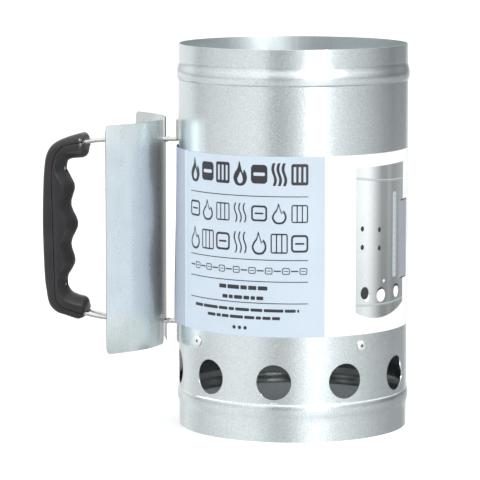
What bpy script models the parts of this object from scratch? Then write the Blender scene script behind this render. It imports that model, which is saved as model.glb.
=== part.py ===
"""Chimney charcoal starter: a vented sheet-metal tube that stands on its lower rim.

A loose perforated grate rests on four rivets inside the tube. Two bent wires hook into the
tube, carry a curved heat shield and run through a two-part plastic grip. A card sleeve is
wrapped round the tube between the feet of the wires.

Metres, +Z up. Plan angles are measured about the tube's axis, from -Y towards +X, so the
handle is at -90 degrees. "Reach" is the distance from the tube's axis towards the handle.
"""
import math

import bmesh
import bpy
import numpy as np
from mathutils import Matrix, Vector

GAP = 0.0003

# Tube
TUBE_RADIUS = 0.08225
BEAD_RADIUS = 0.08335
COLLAR_RADIUS = 0.08195
TUBE_HEIGHT = 0.2745
SHEET = 0.0006
BEAD_FROM_END = 0.020
BEAD_HALF_WIDTH = 0.006
BEAD_STEPS = (1.0, 0.55, 0.0, -0.55, -1.0)
BEAD_FULLNESS = 0.8
TUBE_SEGMENTS = 60

# Handle and frame
GRIP_REACH = 0.1834
AXIS_X = (GRIP_REACH - BEAD_RADIUS) / 2
HANDLE_ANGLE = -90.0

# Openings in the tube
VENT_COUNT = 10
VENT_RADIUS = 0.0125
VENT_Z = 0.0424
AIR_HOLE_COLUMNS = 8
AIR_HOLE_RADIUS = 0.003
AIR_HOLE_ROWS = (0.126, 0.160)
CUTTER_REACH = 0.006
VENT_SIDES = 20
AIR_HOLE_SIDES = 8

# Blind rivets that the grate rests on
RIVET_ANGLES = (-45.0, 45.0, 135.0, -135.0)
RIVET_Z = 0.0665
RIVET_HEAD_RADIUS = 0.0036
RIVET_HEAD_HEIGHT = 0.0011
RIVET_SHANK_RADIUS = 0.0020
RIVET_TAIL_RADIUS = 0.0026
RIVET_BORE_RADIUS = 0.0012
RIVET_TAIL_REACH = 0.0726
RIVET_DOME = ((0.55, 1.0), (0.88, 0.65), (1.0, 0.2))
RIVET_TAIL_TAPER = 0.0008
RIVET_TAIL_EDGE = 0.0005
RIVET_SIDES = 16
MANDREL_SIDES = 10
MANDREL_SUNK = 0.0006
MANDREL_BULB_LENGTH = 0.0018
MANDREL_BULB_STRAIGHT = 0.0010
MANDREL_POINT = 0.6

# Grate
GRATE_RADIUS = 0.0778
GRATE_THICKNESS = 0.0010
GRATE_HOLE_RADIUS = 0.0045
GRATE_HOLE_PITCH = 0.0155
GRATE_HOLE_RINGS = 4
GRATE_SIDES = 48
GRATE_HOLE_SIDES = 8

# Wires
WIRE_RADIUS = 0.0013
WIRE_BEND = 0.0018
WIRE_STEPS = 2
WIRE_HALF_SPACING_AT_TUBE = 0.0030
WIRE_HALF_SPACING_IN_GRIP = 0.0075
WIRE_SIDES = 8
WIRE_HOLE_SIDES = 12
UPPER_WIRE_Z = 0.2040
LOWER_WIRE_Z = 0.0712
FOOT_LENGTH = 0.0148
FOOT_TAIL = 0.0060
SWAGE_RADIUS = 0.0019
SWAGE_START = 0.0010
SWAGE_MIDDLE = 0.0022
SWAGE_END = 0.0034
STRAIGHT_PAST_SHIELD = 0.012
SPREAD_STEPS = (0.2, 0.4, 0.6, 0.8)

# Heat shield
SHIELD_REACH = 0.0943
SHIELD_ARC_RADIUS = 0.0700
SHIELD_HALF_TURN = math.radians(43.0)
SHIELD_FLANGE = 0.0190
SHIELD_TWIST = math.radians(2.3)
SHIELD_BOTTOM = 0.0553
SHIELD_TOP = 0.2186
SHIELD_CORNER = 0.0040
SHIELD_COLUMNS = 12
CORNER_STEPS = 4
SLOT_HALF_WIDTH = 0.0060
SLOT_CORNER = 0.0012
SLOT_MOUTH_ROUNDING = 0.0030
SLOT_PLAY = 0.0005

# Grip
GRIP_HALF_WIDTH = 0.0130
PALM_ROUNDING = 0.0040
FINGER_ROUNDING = 0.0036
ROUNDING_DEGREES = (35.0, 65.0, 90.0)
ROUNDING_DEPTH = 0.8
SCREW_UPPER_Z = 0.1812
SCREW_LOWER_Z = 0.0960
SCREW_HEAD_RADIUS = 0.0027
SCREW_HEAD_HEIGHT = 0.0018
SCREW_SHANK_RADIUS = 0.0014
SCREW_HEAD_REACH = 0.1682
SCREW_TIP_REACH = 0.1800
SCREW_CHAMFER = 0.0005
SCREW_POINT = 0.0010
SCREW_SIDES = 12
SCREW_BORE_SIDES = 14
DRIVER_WAY = 0.0215
WIRE_CHANNEL_LEAD = 6

# Card sleeve
SLEEVE_BOTTOM = 0.0745
SLEEVE_TOP = 0.2008
SLEEVE_THICKNESS = 0.0004
SLEEVE_STAND_OFF = 0.0036
SLEEVE_LIFT_DEGREES = 34.0
SLEEVE_LIFT_POWER = 1.3
SLEEVE_SEGMENTS = 90


def clear_scene():
    for item in list(bpy.data.objects):
        bpy.data.objects.remove(item, do_unlink=True)


def make_material(name, colour, roughness, metallic):
    material = bpy.data.materials.new(name)
    material.use_nodes = True
    shader = material.node_tree.nodes["Principled BSDF"]
    shader.inputs["Base Color"].default_value = (*colour, 1.0)
    shader.inputs["Roughness"].default_value = roughness
    shader.inputs["Metallic"].default_value = metallic
    return material


def add_object(name, form, material, sharp_angle=35.0):
    """Turns a bmesh into a smooth-shaded object of the scene."""
    bmesh.ops.recalc_face_normals(form, faces=form.faces)
    mesh = bpy.data.meshes.new(name)
    form.to_mesh(mesh)
    form.free()
    mesh.materials.append(material)
    mesh.shade_smooth()
    mesh.set_sharp_from_angle(angle=math.radians(sharp_angle))
    item = bpy.data.objects.new(name, mesh)
    bpy.context.scene.collection.objects.link(item)
    return item


def cut(target, cutter):
    """Subtracts a hidden cutter from a solid."""
    cutter.hide_render = True
    cutter.display_type = "WIRE"
    modifier = target.modifiers.new("cut_" + cutter.name, "BOOLEAN")
    modifier.operation = "DIFFERENCE"
    modifier.solver = "EXACT"
    modifier.object = cutter


def polar(radius, degrees, z):
    """A point about the tube's axis, at a plan angle measured from -Y towards +X."""
    angle = math.radians(degrees)
    return Vector((AXIS_X + radius * math.sin(angle), -radius * math.cos(angle), z))


def towards_handle(reach, y, z):
    return Vector((AXIS_X - reach, y, z))


def turned(profile, segments):
    """A ring or a solid of revolution about Z from a closed (radius, z) profile."""
    form = bmesh.new()
    corners = [form.verts.new((radius, 0.0, z)) for radius, z in profile]
    edges = [
        form.edges.new((before, corner)) for before, corner in zip(corners[-1:] + corners, corners)
        if before.co.x > 0 or corner.co.x > 0
    ]
    bmesh.ops.spin(
        form, geom=corners + edges, cent=(0, 0, 0), axis=(0, 0, 1),
        angle=2 * math.pi, steps=segments, use_merge=True,
    )
    bmesh.ops.remove_doubles(form, verts=form.verts, dist=1e-6)
    return form


def add_rod(form, start, end, radius, sides):
    """Adds a straight closed cylinder between two points."""
    run = end - start
    place = Matrix.Translation((start + end) / 2) @ run.to_track_quat("Z", "Y").to_matrix().to_4x4()
    bmesh.ops.create_cone(
        form, cap_ends=True, segments=sides, radius1=radius, radius2=radius,
        depth=run.length, matrix=place,
    )


def tube_along(path, radii, sides):
    """A closed round bar along a path, with one radius for each point."""
    form = bmesh.new()
    rings = []
    side_way = Vector((0, 1, 0))
    for i, point in enumerate(path):
        ahead = path[min(i + 1, len(path) - 1)] - path[max(i - 1, 0)]
        ahead.normalize()
        up_way = ahead.cross(side_way).normalized()
        across = up_way.cross(ahead).normalized()
        ring = []
        for k in range(sides):
            turn = 2 * math.pi * (k + 0.5) / sides
            ring.append(form.verts.new(point + radii[i] * (math.cos(turn) * across + math.sin(turn) * up_way)))
        rings.append(ring)
    for lower, upper in zip(rings, rings[1:]):
        for k in range(sides):
            form.faces.new((lower[k - 1], lower[k], upper[k], upper[k - 1]))
    form.faces.new(rings[0])
    form.faces.new(rings[-1])
    return form


def rounded_path(corners, bend, steps=4):
    """Replaces each inner corner of a path with an arc of the given bend radius."""
    path = [corners[0]]
    for before, corner, after in zip(corners, corners[1:], corners[2:]):
        back = (before - corner).normalized()
        ahead = (after - corner).normalized()
        half = back.angle(ahead) / 2
        bisector = (back + ahead).normalized()
        centre = corner + bisector * bend / math.sin(half)
        first = corner + back * bend / math.tan(half) - centre
        last = corner + ahead * bend / math.tan(half) - centre
        swing = first.angle(last)
        for k in range(steps + 1):
            turn = swing * k / steps
            path.append(centre + (first * math.sin(swing - turn) + last * math.sin(turn)) / math.sin(swing))
    path.append(corners[-1])
    return path


def smooth_curve(points, per_span):
    """A Catmull-Rom curve through (reach, z) points."""
    knots = np.array([points[0]] + list(points) + [points[-1]])
    curve = []
    for a, b, c, d in zip(knots, knots[1:], knots[2:], knots[3:]):
        for t in np.arange(per_span) / per_span:
            curve.append(
                0.5 * (2 * b + (c - a) * t + (2 * a - 5 * b + 4 * c - d) * t**2
                       + (3 * b - a - 3 * c + d) * t**3)
            )
    curve.append(knots[-1])
    return np.array(curve)


# Tube ---------------------------------------------------------------------------------------

def tube_outline():
    """The outer side of the sheet from top to bottom, as (radius, z) points."""
    bead_high = TUBE_HEIGHT - BEAD_FROM_END
    rise = BEAD_RADIUS - TUBE_RADIUS
    outline = [(COLLAR_RADIUS, TUBE_HEIGHT)]
    for centre in (bead_high, BEAD_FROM_END):
        for step in BEAD_STEPS:
            radius = TUBE_RADIUS + rise * math.cos(step * math.pi / 2) ** BEAD_FULLNESS
            outline.append((radius, centre + step * BEAD_HALF_WIDTH))
    outline.append((COLLAR_RADIUS, 0.0))
    return outline


def radial_holes(name, holes):
    """A hidden cutter with one radial rod for each (angle, z, radius, sides, y shift)."""
    form = bmesh.new()
    for degrees, z, radius, sides, shift in holes:
        inner = polar(TUBE_RADIUS - CUTTER_REACH, degrees, z)
        outer = polar(TUBE_RADIUS + CUTTER_REACH, degrees, z)
        aside = polar(1.0, degrees + 90.0, 0.0) - polar(0.0, 0.0, 0.0)
        add_rod(form, inner + shift * aside, outer + shift * aside, radius, sides)
    return add_object(name, form, bpy.data.materials["galvanised sheet"])


def make_body_shell(material):
    outside = tube_outline()
    inside = [(radius - SHEET, z) for radius, z in reversed(outside)]
    shell = add_object("body_shell", turned(outside + inside, TUBE_SEGMENTS), material)
    shell.location.x = AXIS_X
    vents = [
        (360.0 * k / VENT_COUNT, VENT_Z, VENT_RADIUS, VENT_SIDES, 0.0) for k in range(VENT_COUNT)
    ]
    small = [
        (360.0 * k / AIR_HOLE_COLUMNS, z, AIR_HOLE_RADIUS, AIR_HOLE_SIDES, 0.0)
        for k in range(AIR_HOLE_COLUMNS) for z in AIR_HOLE_ROWS
    ]
    rivets = [
        (degrees, RIVET_Z, RIVET_SHANK_RADIUS + GAP, WIRE_HOLE_SIDES, 0.0) for degrees in RIVET_ANGLES
    ]
    feet = [
        (HANDLE_ANGLE, z, WIRE_RADIUS + 2 * GAP, WIRE_HOLE_SIDES, side * WIRE_HALF_SPACING_AT_TUBE)
        for z in (UPPER_WIRE_Z + FOOT_LENGTH, LOWER_WIRE_Z - FOOT_LENGTH) for side in (-1, 1)
    ]
    cut(shell, radial_holes("hole_cutter", vents + small + rivets + feet))


# Rivets -------------------------------------------------------------------------------------

def stand_radially(item, degrees, z):
    """Turns an object's +Z to point out of the tube's axis at a plan angle."""
    out = polar(1.0, degrees, 0.0) - polar(0.0, degrees, 0.0)
    item.rotation_euler = out.to_track_quat("Z", "Y").to_euler()
    item.location = polar(0.0, degrees, z)


def make_rivets(aluminium, steel):
    head_base = TUBE_RADIUS + GAP
    head_top = head_base + RIVET_HEAD_HEIGHT
    inner_wall = TUBE_RADIUS - SHEET - GAP
    dome = [
        (RIVET_HEAD_RADIUS * across, head_base + RIVET_HEAD_HEIGHT * up) for across, up in RIVET_DOME
    ]
    rivet_profile = [
        (RIVET_BORE_RADIUS, head_top),
        *dome,
        (RIVET_HEAD_RADIUS, head_base),
        (RIVET_SHANK_RADIUS, head_base),
        (RIVET_SHANK_RADIUS, inner_wall),
        (RIVET_TAIL_RADIUS, inner_wall - RIVET_TAIL_TAPER),
        (RIVET_TAIL_RADIUS, RIVET_TAIL_REACH + RIVET_TAIL_EDGE),
        (RIVET_TAIL_RADIUS - RIVET_TAIL_EDGE, RIVET_TAIL_REACH),
        (RIVET_BORE_RADIUS, RIVET_TAIL_REACH),
    ]
    pin = RIVET_BORE_RADIUS - GAP / 2
    bulb = RIVET_SHANK_RADIUS
    bulb_top = RIVET_TAIL_REACH - GAP
    mandrel_profile = [
        (0.0, head_top - MANDREL_SUNK),
        (pin, head_top - MANDREL_SUNK),
        (pin, bulb_top),
        (bulb, bulb_top),
        (bulb, bulb_top - MANDREL_BULB_STRAIGHT),
        (bulb * MANDREL_POINT, bulb_top - MANDREL_BULB_LENGTH),
        (0.0, bulb_top - MANDREL_BULB_LENGTH),
    ]
    for number, degrees in enumerate(RIVET_ANGLES, start=1):
        rivet = add_object(f"grate_rivet_{number}", turned(rivet_profile, RIVET_SIDES), aluminium)
        stand_radially(rivet, degrees, RIVET_Z)
        mandrel = add_object(f"rivet_mandrel_{number}", turned(mandrel_profile, MANDREL_SIDES), steel)
        stand_radially(mandrel, degrees, RIVET_Z)


# Grate --------------------------------------------------------------------------------------

def grate_hole_centres():
    """A hexagonal grid of hole centres, ring by ring."""
    centres = [(0.0, 0.0)]
    for ring in range(1, GRATE_HOLE_RINGS + 1):
        for side in range(6):
            start = math.radians(60 * side)
            along = math.radians(60 * side + 120)
            for k in range(ring):
                x = ring * math.cos(start) + k * math.cos(along)
                y = ring * math.sin(start) + k * math.sin(along)
                centres.append((x * GRATE_HOLE_PITCH, y * GRATE_HOLE_PITCH))
    return centres


def make_grate(material):
    underside = RIVET_Z + RIVET_TAIL_RADIUS + GAP
    form = bmesh.new()
    add_rod(form, Vector((0, 0, 0)), Vector((0, 0, GRATE_THICKNESS)), GRATE_RADIUS, GRATE_SIDES)
    grate = add_object("charcoal_grate", form, material)
    grate.location = (AXIS_X, 0.0, underside)
    holes = bmesh.new()
    for x, y in grate_hole_centres():
        low, high = Vector((x, y, -CUTTER_REACH)), Vector((x, y, CUTTER_REACH))
        add_rod(holes, low, high, GRATE_HOLE_RADIUS, GRATE_HOLE_SIDES)
    cutter = add_object("grate_cutter", holes, material)
    cutter.location = grate.location
    cut(grate, cutter)


# Heat shield --------------------------------------------------------------------------------

def shield_plan(along):
    """The (reach, y) of a point a given length along the sheet, which hangs slightly twisted."""
    arc_half = SHIELD_ARC_RADIUS * SHIELD_HALF_TURN
    side = math.copysign(1.0, along)
    turn = min(abs(along), arc_half) / SHIELD_ARC_RADIUS
    straight = max(abs(along) - arc_half, 0.0)
    out = SHIELD_ARC_RADIUS * (1 - math.cos(turn)) + straight * math.sin(turn)
    y = side * (SHIELD_ARC_RADIUS * math.sin(turn) + straight * math.cos(turn))
    reach = SHIELD_REACH + out * math.cos(SHIELD_TWIST) + y * math.sin(SHIELD_TWIST)
    return reach, y * math.cos(SHIELD_TWIST) - out * math.sin(SHIELD_TWIST)


def shield_stations():
    """Lengths along the sheet, close together where its corners are rounded."""
    half = SHIELD_ARC_RADIUS * SHIELD_HALF_TURN + SHIELD_FLANGE
    turns = np.linspace(0.0, math.pi / 2, CORNER_STEPS + 1)
    corner = [half - SHIELD_CORNER * (1 - math.sin(turn)) for turn in turns]
    right = list(np.linspace(0.0, half - SHIELD_CORNER, SHIELD_COLUMNS + 1)[:-1]) + corner
    return [-value for value in reversed(right[1:])] + right


def make_heat_shield(material):
    half = SHIELD_ARC_RADIUS * SHIELD_HALF_TURN + SHIELD_FLANGE
    form = bmesh.new()
    columns = []
    for along in shield_stations():
        reach, y = shield_plan(along)
        past = max(abs(along) - (half - SHIELD_CORNER), 0.0)
        inset = SHIELD_CORNER - math.sqrt(max(SHIELD_CORNER**2 - past**2, 0.0))
        columns.append((
            form.verts.new(towards_handle(reach, y, SHIELD_BOTTOM + inset)),
            form.verts.new(towards_handle(reach, y, SHIELD_TOP - inset)),
        ))
    for left, right in zip(columns, columns[1:]):
        form.faces.new((left[0], right[0], right[1], left[1]))
    shield = add_object("heat_shield", form, material)
    thicken = shield.modifiers.new("sheet", "SOLIDIFY")
    thicken.thickness = SHEET
    thicken.offset = 0.0
    top_end = UPPER_WIRE_Z - WIRE_RADIUS - SLOT_PLAY
    low_end = LOWER_WIRE_Z + WIRE_RADIUS + SLOT_PLAY
    cut(shield, slot_cutter("upper_slot_cutter", top_end, SHIELD_TOP, material))
    cut(shield, slot_cutter("lower_slot_cutter", low_end, SHIELD_BOTTOM, material))


def slot_cutter(name, end_z, edge_z, material):
    """A block open at the sheet's edge: rounded corners at its closed end and at its mouth."""
    way = math.copysign(1.0, edge_z - end_z)
    half = []
    for turn in np.linspace(math.pi / 2, 0.0, CORNER_STEPS):
        y = SLOT_HALF_WIDTH - SLOT_CORNER * (1 - math.cos(turn))
        half.append((y, end_z + way * SLOT_CORNER * (1 - math.sin(turn))))
    for turn in np.linspace(0.0, math.pi / 2, CORNER_STEPS):
        y = SLOT_HALF_WIDTH + SLOT_MOUTH_ROUNDING * (1 - math.cos(turn))
        half.append((y, edge_z - way * SLOT_MOUTH_ROUNDING * (1 - math.sin(turn))))
    half.append((half[-1][0], edge_z + way * CUTTER_REACH))
    outline = half + [(-y, z) for y, z in reversed(half)]
    form = bmesh.new()
    rings = [
        [form.verts.new(towards_handle(reach, y, z)) for y, z in outline]
        for reach in (SHIELD_REACH - CUTTER_REACH, SHIELD_REACH + CUTTER_REACH)
    ]
    join_rings(form, rings)
    return add_object(name, form, material)


# Grip ---------------------------------------------------------------------------------------

PALM_POINTS = (
    (0.1528, 0.2080), (0.1600, 0.2062), (0.1690, 0.2034), (0.1754, 0.1995), (0.1795, 0.1940),
    (0.1815, 0.1850), (0.1830, 0.1650), (0.1834, 0.1420), (0.1829, 0.1180), (0.1820, 0.1005),
    (0.1808, 0.0910), (0.1787, 0.0824), (0.1736, 0.0768), (0.1650, 0.0738), (0.1552, 0.0707),
)
SEAM_POINTS = (
    (0.1512, 0.2015), (0.1600, 0.2001), (0.1676, 0.1974), (0.1730, 0.1914), (0.1753, 0.1800),
    (0.1757, 0.1600), (0.1748, 0.1420), (0.1744, 0.1240), (0.1739, 0.1040), (0.1737, 0.0935),
    (0.1722, 0.0850), (0.1680, 0.0805), (0.1610, 0.0782), (0.1520, 0.0757),
)
FINGER_TOP_POINTS = ((0.1502, 0.1903), (0.1560, 0.1893), (0.1620, 0.1888), (0.1668, 0.1860))
FINGER_BOTTOM_POINTS = ((0.1670, 0.0985), (0.1655, 0.0930), (0.1600, 0.0892), (0.1502, 0.0871))
FINGER_NEAR_REACH = 0.1612
FINGER_BOW = 0.0034
FINGER_BOW_HALF_LENGTH = 0.0330
FINGER_WAVE = 0.0023
FINGER_PITCH = 0.0282
FINGER_MIDDLE_Z = 0.1408
FINGER_WAVE_ENDS = (0.1815, 0.1022)
FINGER_WAVE_POINTS = 19


def finger_wave():
    """The wavy, slightly bowed middle of the finger side, from top to bottom."""
    points = []
    for z in np.linspace(*FINGER_WAVE_ENDS, FINGER_WAVE_POINTS):
        off = z - FINGER_MIDDLE_Z
        bow = FINGER_BOW * min((off / FINGER_BOW_HALF_LENGTH) ** 2, 1.0)
        wave = FINGER_WAVE * math.cos(2 * math.pi * off / FINGER_PITCH)
        points.append((FINGER_NEAR_REACH + bow - wave, z))
    return points


def join_rings(form, rings):
    """Skins a row of equal rings and closes both ends."""
    count = len(rings[0])
    for lower, upper in zip(rings, rings[1:]):
        for k in range(count):
            form.faces.new((lower[k - 1], lower[k], upper[k], upper[k - 1]))
    form.faces.new(rings[0])
    form.faces.new(rings[-1])


def inward_ways(outline, outer_count):
    """How each outline point moves as the sides round in: the seam's points stay on the seam."""
    before, after = np.roll(outline, 1, axis=0), np.roll(outline, -1, axis=0)
    turning = np.sign(np.sum(before[:, 0] * outline[:, 1] - outline[:, 0] * before[:, 1]))
    arriving, leaving = outline - before, after - outline
    normals = []
    for run in (arriving, leaving):
        normal = turning * np.stack((-run[:, 1], run[:, 0]), axis=1)
        normals.append(normal / np.linalg.norm(normal, axis=1)[:, None])
    spread_out = 1 + np.sum(normals[0] * normals[1], axis=1)[:, None]
    ways = (normals[0] + normals[1]) / spread_out
    seam = outline[outer_count:]
    ways[outer_count:] = 0.0
    ways[outer_count] = (seam[1] - seam[0]) / np.linalg.norm(seam[1] - seam[0])
    ways[-1] = (seam[-2] - seam[-1]) / np.linalg.norm(seam[-2] - seam[-1])
    return ways


def grip_shell(name, outer, seam, rounding, material):
    """One half of the grip: an outer line and a seam line, with its side edges rounded."""
    outline = np.array(list(outer) + list(seam))
    ways = inward_ways(outline, len(outer))
    flat = GRIP_HALF_WIDTH - rounding
    levels = [(-flat, 0.0), (flat, 0.0)]
    for degrees in ROUNDING_DEGREES:
        turn = math.radians(degrees)
        depth = rounding * (1 - math.cos(turn)) * ROUNDING_DEPTH
        levels.insert(0, (-flat - rounding * math.sin(turn), depth))
        levels.append((flat + rounding * math.sin(turn), depth))
    form = bmesh.new()
    rings = [
        [form.verts.new(towards_handle(p[0], y, p[1])) for p in outline + depth * ways]
        for y, depth in levels
    ]
    join_rings(form, rings)
    return add_object(name, form, material, sharp_angle=50.0)


def shifted_seam(side):
    """The seam line, moved half a gap towards one shell."""
    seam = smooth_curve(SEAM_POINTS, 2)
    ahead = np.gradient(seam, axis=0)
    across = np.stack((-ahead[:, 1], ahead[:, 0]), axis=1)
    across /= np.linalg.norm(across, axis=1)[:, None]
    return seam + side * across * GAP / 2


def make_grip(material):
    palm_line = smooth_curve(PALM_POINTS, 2)
    finger_line = list(smooth_curve(FINGER_TOP_POINTS, 2)) + [np.array(p) for p in finger_wave()]
    finger_line += list(smooth_curve(FINGER_BOTTOM_POINTS, 2))
    palm = grip_shell("grip_outer_shell", palm_line, shifted_seam(1)[::-1], PALM_ROUNDING, material)
    finger = grip_shell("grip_inner_shell", finger_line, shifted_seam(-1)[::-1], FINGER_ROUNDING, material)
    hollows = bmesh.new()
    line = wire_line()
    lead_in = line[0] + WIRE_CHANNEL_LEAD * (line[0] - line[1])
    lead_out = line[-1] + WIRE_CHANNEL_LEAD * (line[-1] - line[-2])
    for side in (-1, 1):
        path = [
            towards_handle(reach, side * WIRE_HALF_SPACING_IN_GRIP, z)
            for reach, z in (lead_in, *line, lead_out)
        ]
        add_form(hollows, tube_along(path, [WIRE_RADIUS + GAP] * len(path), WIRE_SIDES), Matrix())
    for z in (SCREW_UPPER_Z, SCREW_LOWER_Z):
        add_form(hollows, turned(screw_bore_profile(), SCREW_BORE_SIDES), screw_place(z))
    cutter = add_object("grip_hollows_cutter", hollows, material)
    for shell in (palm, finger):
        cut(shell, cutter)


def wire_line():
    """The middle of the wires inside the grip, as (reach, z) points along the seam."""
    seam = smooth_curve(SEAM_POINTS, WIRE_STEPS)
    return (seam[1:] + seam[:-1]) / 2


def add_form(form, other, place):
    """Moves one bmesh into place and adds it to another."""
    other.transform(place)
    spare = bpy.data.meshes.new("spare")
    other.to_mesh(spare)
    other.free()
    form.from_mesh(spare)
    bpy.data.meshes.remove(spare)


def screw_place(z):
    """Puts a screw's head at the finger side, with its length towards the palm."""
    turn = Vector((-1, 0, 0)).to_track_quat("Z", "Y").to_matrix().to_4x4()
    return Matrix.Translation(towards_handle(SCREW_HEAD_REACH, 0.0, z)) @ turn


def screw_bore_profile():
    """A driver's way in, the head's seat and the pilot hole, from the head's face at zero."""
    mouth = -DRIVER_WAY
    seat = SCREW_HEAD_HEIGHT + GAP
    tip = SCREW_TIP_REACH - SCREW_HEAD_REACH + GAP
    wide = SCREW_HEAD_RADIUS + GAP
    narrow = SCREW_SHANK_RADIUS + GAP
    return [(0.0, mouth), (wide, mouth), (wide, seat), (narrow, seat), (narrow, tip), (0.0, tip)]


def make_grip_screws(material):
    """Two pan-head screws that enter from the finger side and pull the shells together."""
    length = SCREW_TIP_REACH - SCREW_HEAD_REACH
    profile = [
        (0.0, 0.0), (SCREW_HEAD_RADIUS * 0.7, 0.0), (SCREW_HEAD_RADIUS, SCREW_CHAMFER),
        (SCREW_HEAD_RADIUS, SCREW_HEAD_HEIGHT), (SCREW_SHANK_RADIUS, SCREW_HEAD_HEIGHT),
        (SCREW_SHANK_RADIUS, length - SCREW_POINT), (0.0, length),
    ]
    for name, z in (("grip_screw_upper", SCREW_UPPER_Z), ("grip_screw_lower", SCREW_LOWER_Z)):
        screw = add_object(name, turned(profile, SCREW_SIDES), material)
        screw.matrix_world = screw_place(z)


# Wires --------------------------------------------------------------------------------------

def wire_path(side):
    """One wire from its upper foot, through the shield and the grip, to its lower foot."""
    near = side * WIRE_HALF_SPACING_AT_TUBE
    wide = side * WIRE_HALF_SPACING_IN_GRIP
    outside = TUBE_RADIUS + GAP + WIRE_RADIUS
    inside = TUBE_RADIUS - SHEET - GAP - WIRE_RADIUS
    paths = []
    for run_z, way in ((UPPER_WIRE_Z, 1), (LOWER_WIRE_Z, -1)):
        foot_z = run_z + way * FOOT_LENGTH
        corners = [
            towards_handle(inside, near, foot_z + way * FOOT_TAIL),
            towards_handle(inside, near, foot_z),
            towards_handle(outside, near, foot_z),
            towards_handle(outside, near, run_z),
            towards_handle(SHIELD_REACH + STRAIGHT_PAST_SHIELD, near, run_z),
        ]
        paths.append(rounded_path(corners, WIRE_BEND))
    seam = [towards_handle(reach, wide, z) for reach, z in wire_line()]
    upper, lower = paths
    return upper, spread(upper[-1], seam[0], seam[1]), seam, spread(lower[-1], seam[-1], seam[-2]), lower


def spread(start, end, beyond):
    """A smooth stretch from a wire's straight run near the shield to the grip's end."""
    leave = Vector((-1, 0, 0)) * (end - start).length
    arrive = (beyond - end).normalized() * (end - start).length
    points = []
    for t in SPREAD_STEPS:
        a = 2 * t**3 - 3 * t**2 + 1
        b = t**3 - 2 * t**2 + t
        c = -2 * t**3 + 3 * t**2
        d = t**3 - t**2
        points.append(a * start + b * leave + c * end + d * arrive)
    return points


def swaged_run(path):
    """Adds the pinched lumps that hold the shield, and gives each point its radius."""
    points, radii = [], []
    marks = [
        (SHIELD_REACH - SWAGE_END, WIRE_RADIUS), (SHIELD_REACH - SWAGE_MIDDLE, SWAGE_RADIUS),
        (SHIELD_REACH - SWAGE_START, WIRE_RADIUS), (SHIELD_REACH + SWAGE_START, WIRE_RADIUS),
        (SHIELD_REACH + SWAGE_MIDDLE, SWAGE_RADIUS), (SHIELD_REACH + SWAGE_END, WIRE_RADIUS),
    ]
    for point, after in zip(path, path[1:] + [None]):
        points.append(point)
        radii.append(WIRE_RADIUS)
        if after is None:
            continue
        start, end = AXIS_X - point.x, AXIS_X - after.x
        for reach, radius in marks:
            if start < reach < end:
                points.append(point.lerp(after, (reach - start) / (end - start)))
                radii.append(radius)
    return points, radii


def make_wires(material):
    for name, side in (("handle_wire_front", -1), ("handle_wire_rear", 1)):
        upper, upper_spread, seam, lower_spread, lower = wire_path(side)
        top_points, top_radii = swaged_run(upper)
        low_points, low_radii = swaged_run(lower)
        path = top_points + upper_spread + seam + lower_spread[::-1] + low_points[::-1]
        plain = [WIRE_RADIUS] * (len(upper_spread) + len(seam) + len(lower_spread))
        radii = top_radii + plain + low_radii[::-1]
        add_object(name, tube_along(path, radii, WIRE_SIDES), material)


# Card sleeve --------------------------------------------------------------------------------

def sleeve_radius(degrees):
    """The inner radius of the sleeve: snug on the tube, standing off towards the handle."""
    snug = TUBE_RADIUS + GAP
    away = abs(degrees - HANDLE_ANGLE)
    if away > 180.0:
        away = 360.0 - away
    lift = max(1.0 - away / SLEEVE_LIFT_DEGREES, 0.0)
    return snug + SLEEVE_STAND_OFF * lift**SLEEVE_LIFT_POWER


def make_card_sleeve(material):
    form = bmesh.new()
    rings = []
    for k in range(SLEEVE_SEGMENTS):
        degrees = -180.0 + 360.0 * k / SLEEVE_SEGMENTS
        inner = sleeve_radius(degrees)
        outer = inner + SLEEVE_THICKNESS
        section = (
            (inner, SLEEVE_BOTTOM), (outer, SLEEVE_BOTTOM), (outer, SLEEVE_TOP), (inner, SLEEVE_TOP),
        )
        rings.append([form.verts.new(polar(radius, degrees, z)) for radius, z in section])
    for k, ring in enumerate(rings):
        before = rings[k - 1]
        for i in range(4):
            form.faces.new((before[i - 1], before[i], ring[i], ring[i - 1]))
    add_object("card_sleeve", form, material)


def main():
    clear_scene()
    galvanised = make_material("galvanised sheet", (0.62, 0.64, 0.64), 0.32, 1.0)
    shield_sheet = make_material("shield sheet", (0.66, 0.69, 0.69), 0.38, 1.0)
    grate_steel = make_material("grate steel", (0.45, 0.46, 0.46), 0.45, 1.0)
    aluminium = make_material("rivet aluminium", (0.80, 0.80, 0.80), 0.30, 1.0)
    pin_steel = make_material("mandrel steel", (0.20, 0.20, 0.20), 0.45, 1.0)
    wire_steel = make_material("plated wire", (0.60, 0.60, 0.59), 0.25, 1.0)
    plastic = make_material("black grip plastic", (0.025, 0.025, 0.028), 0.45, 0.0)
    screw_steel = make_material("screw steel", (0.70, 0.70, 0.70), 0.25, 1.0)
    card = make_material("printed card", (0.62, 0.71, 0.85), 0.50, 0.0)
    make_body_shell(galvanised)
    make_rivets(aluminium, pin_steel)
    make_grate(grate_steel)
    make_heat_shield(shield_sheet)
    make_grip(plastic)
    make_grip_screws(screw_steel)
    make_wires(wire_steel)
    make_card_sleeve(card)


main()
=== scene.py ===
"""Visual model of the chimney charcoal starter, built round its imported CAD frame.

Metres, +Z up. Plan angles are degrees about the tube's axis, from -Y towards +X, so the handle
is at -90. "Reach" is the distance from the tube's axis towards the handle.
"""
import math

import bpy
import numpy as np
from mathutils import Matrix, Vector
from mathutils.geometry import delaunay_2d_cdt


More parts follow.
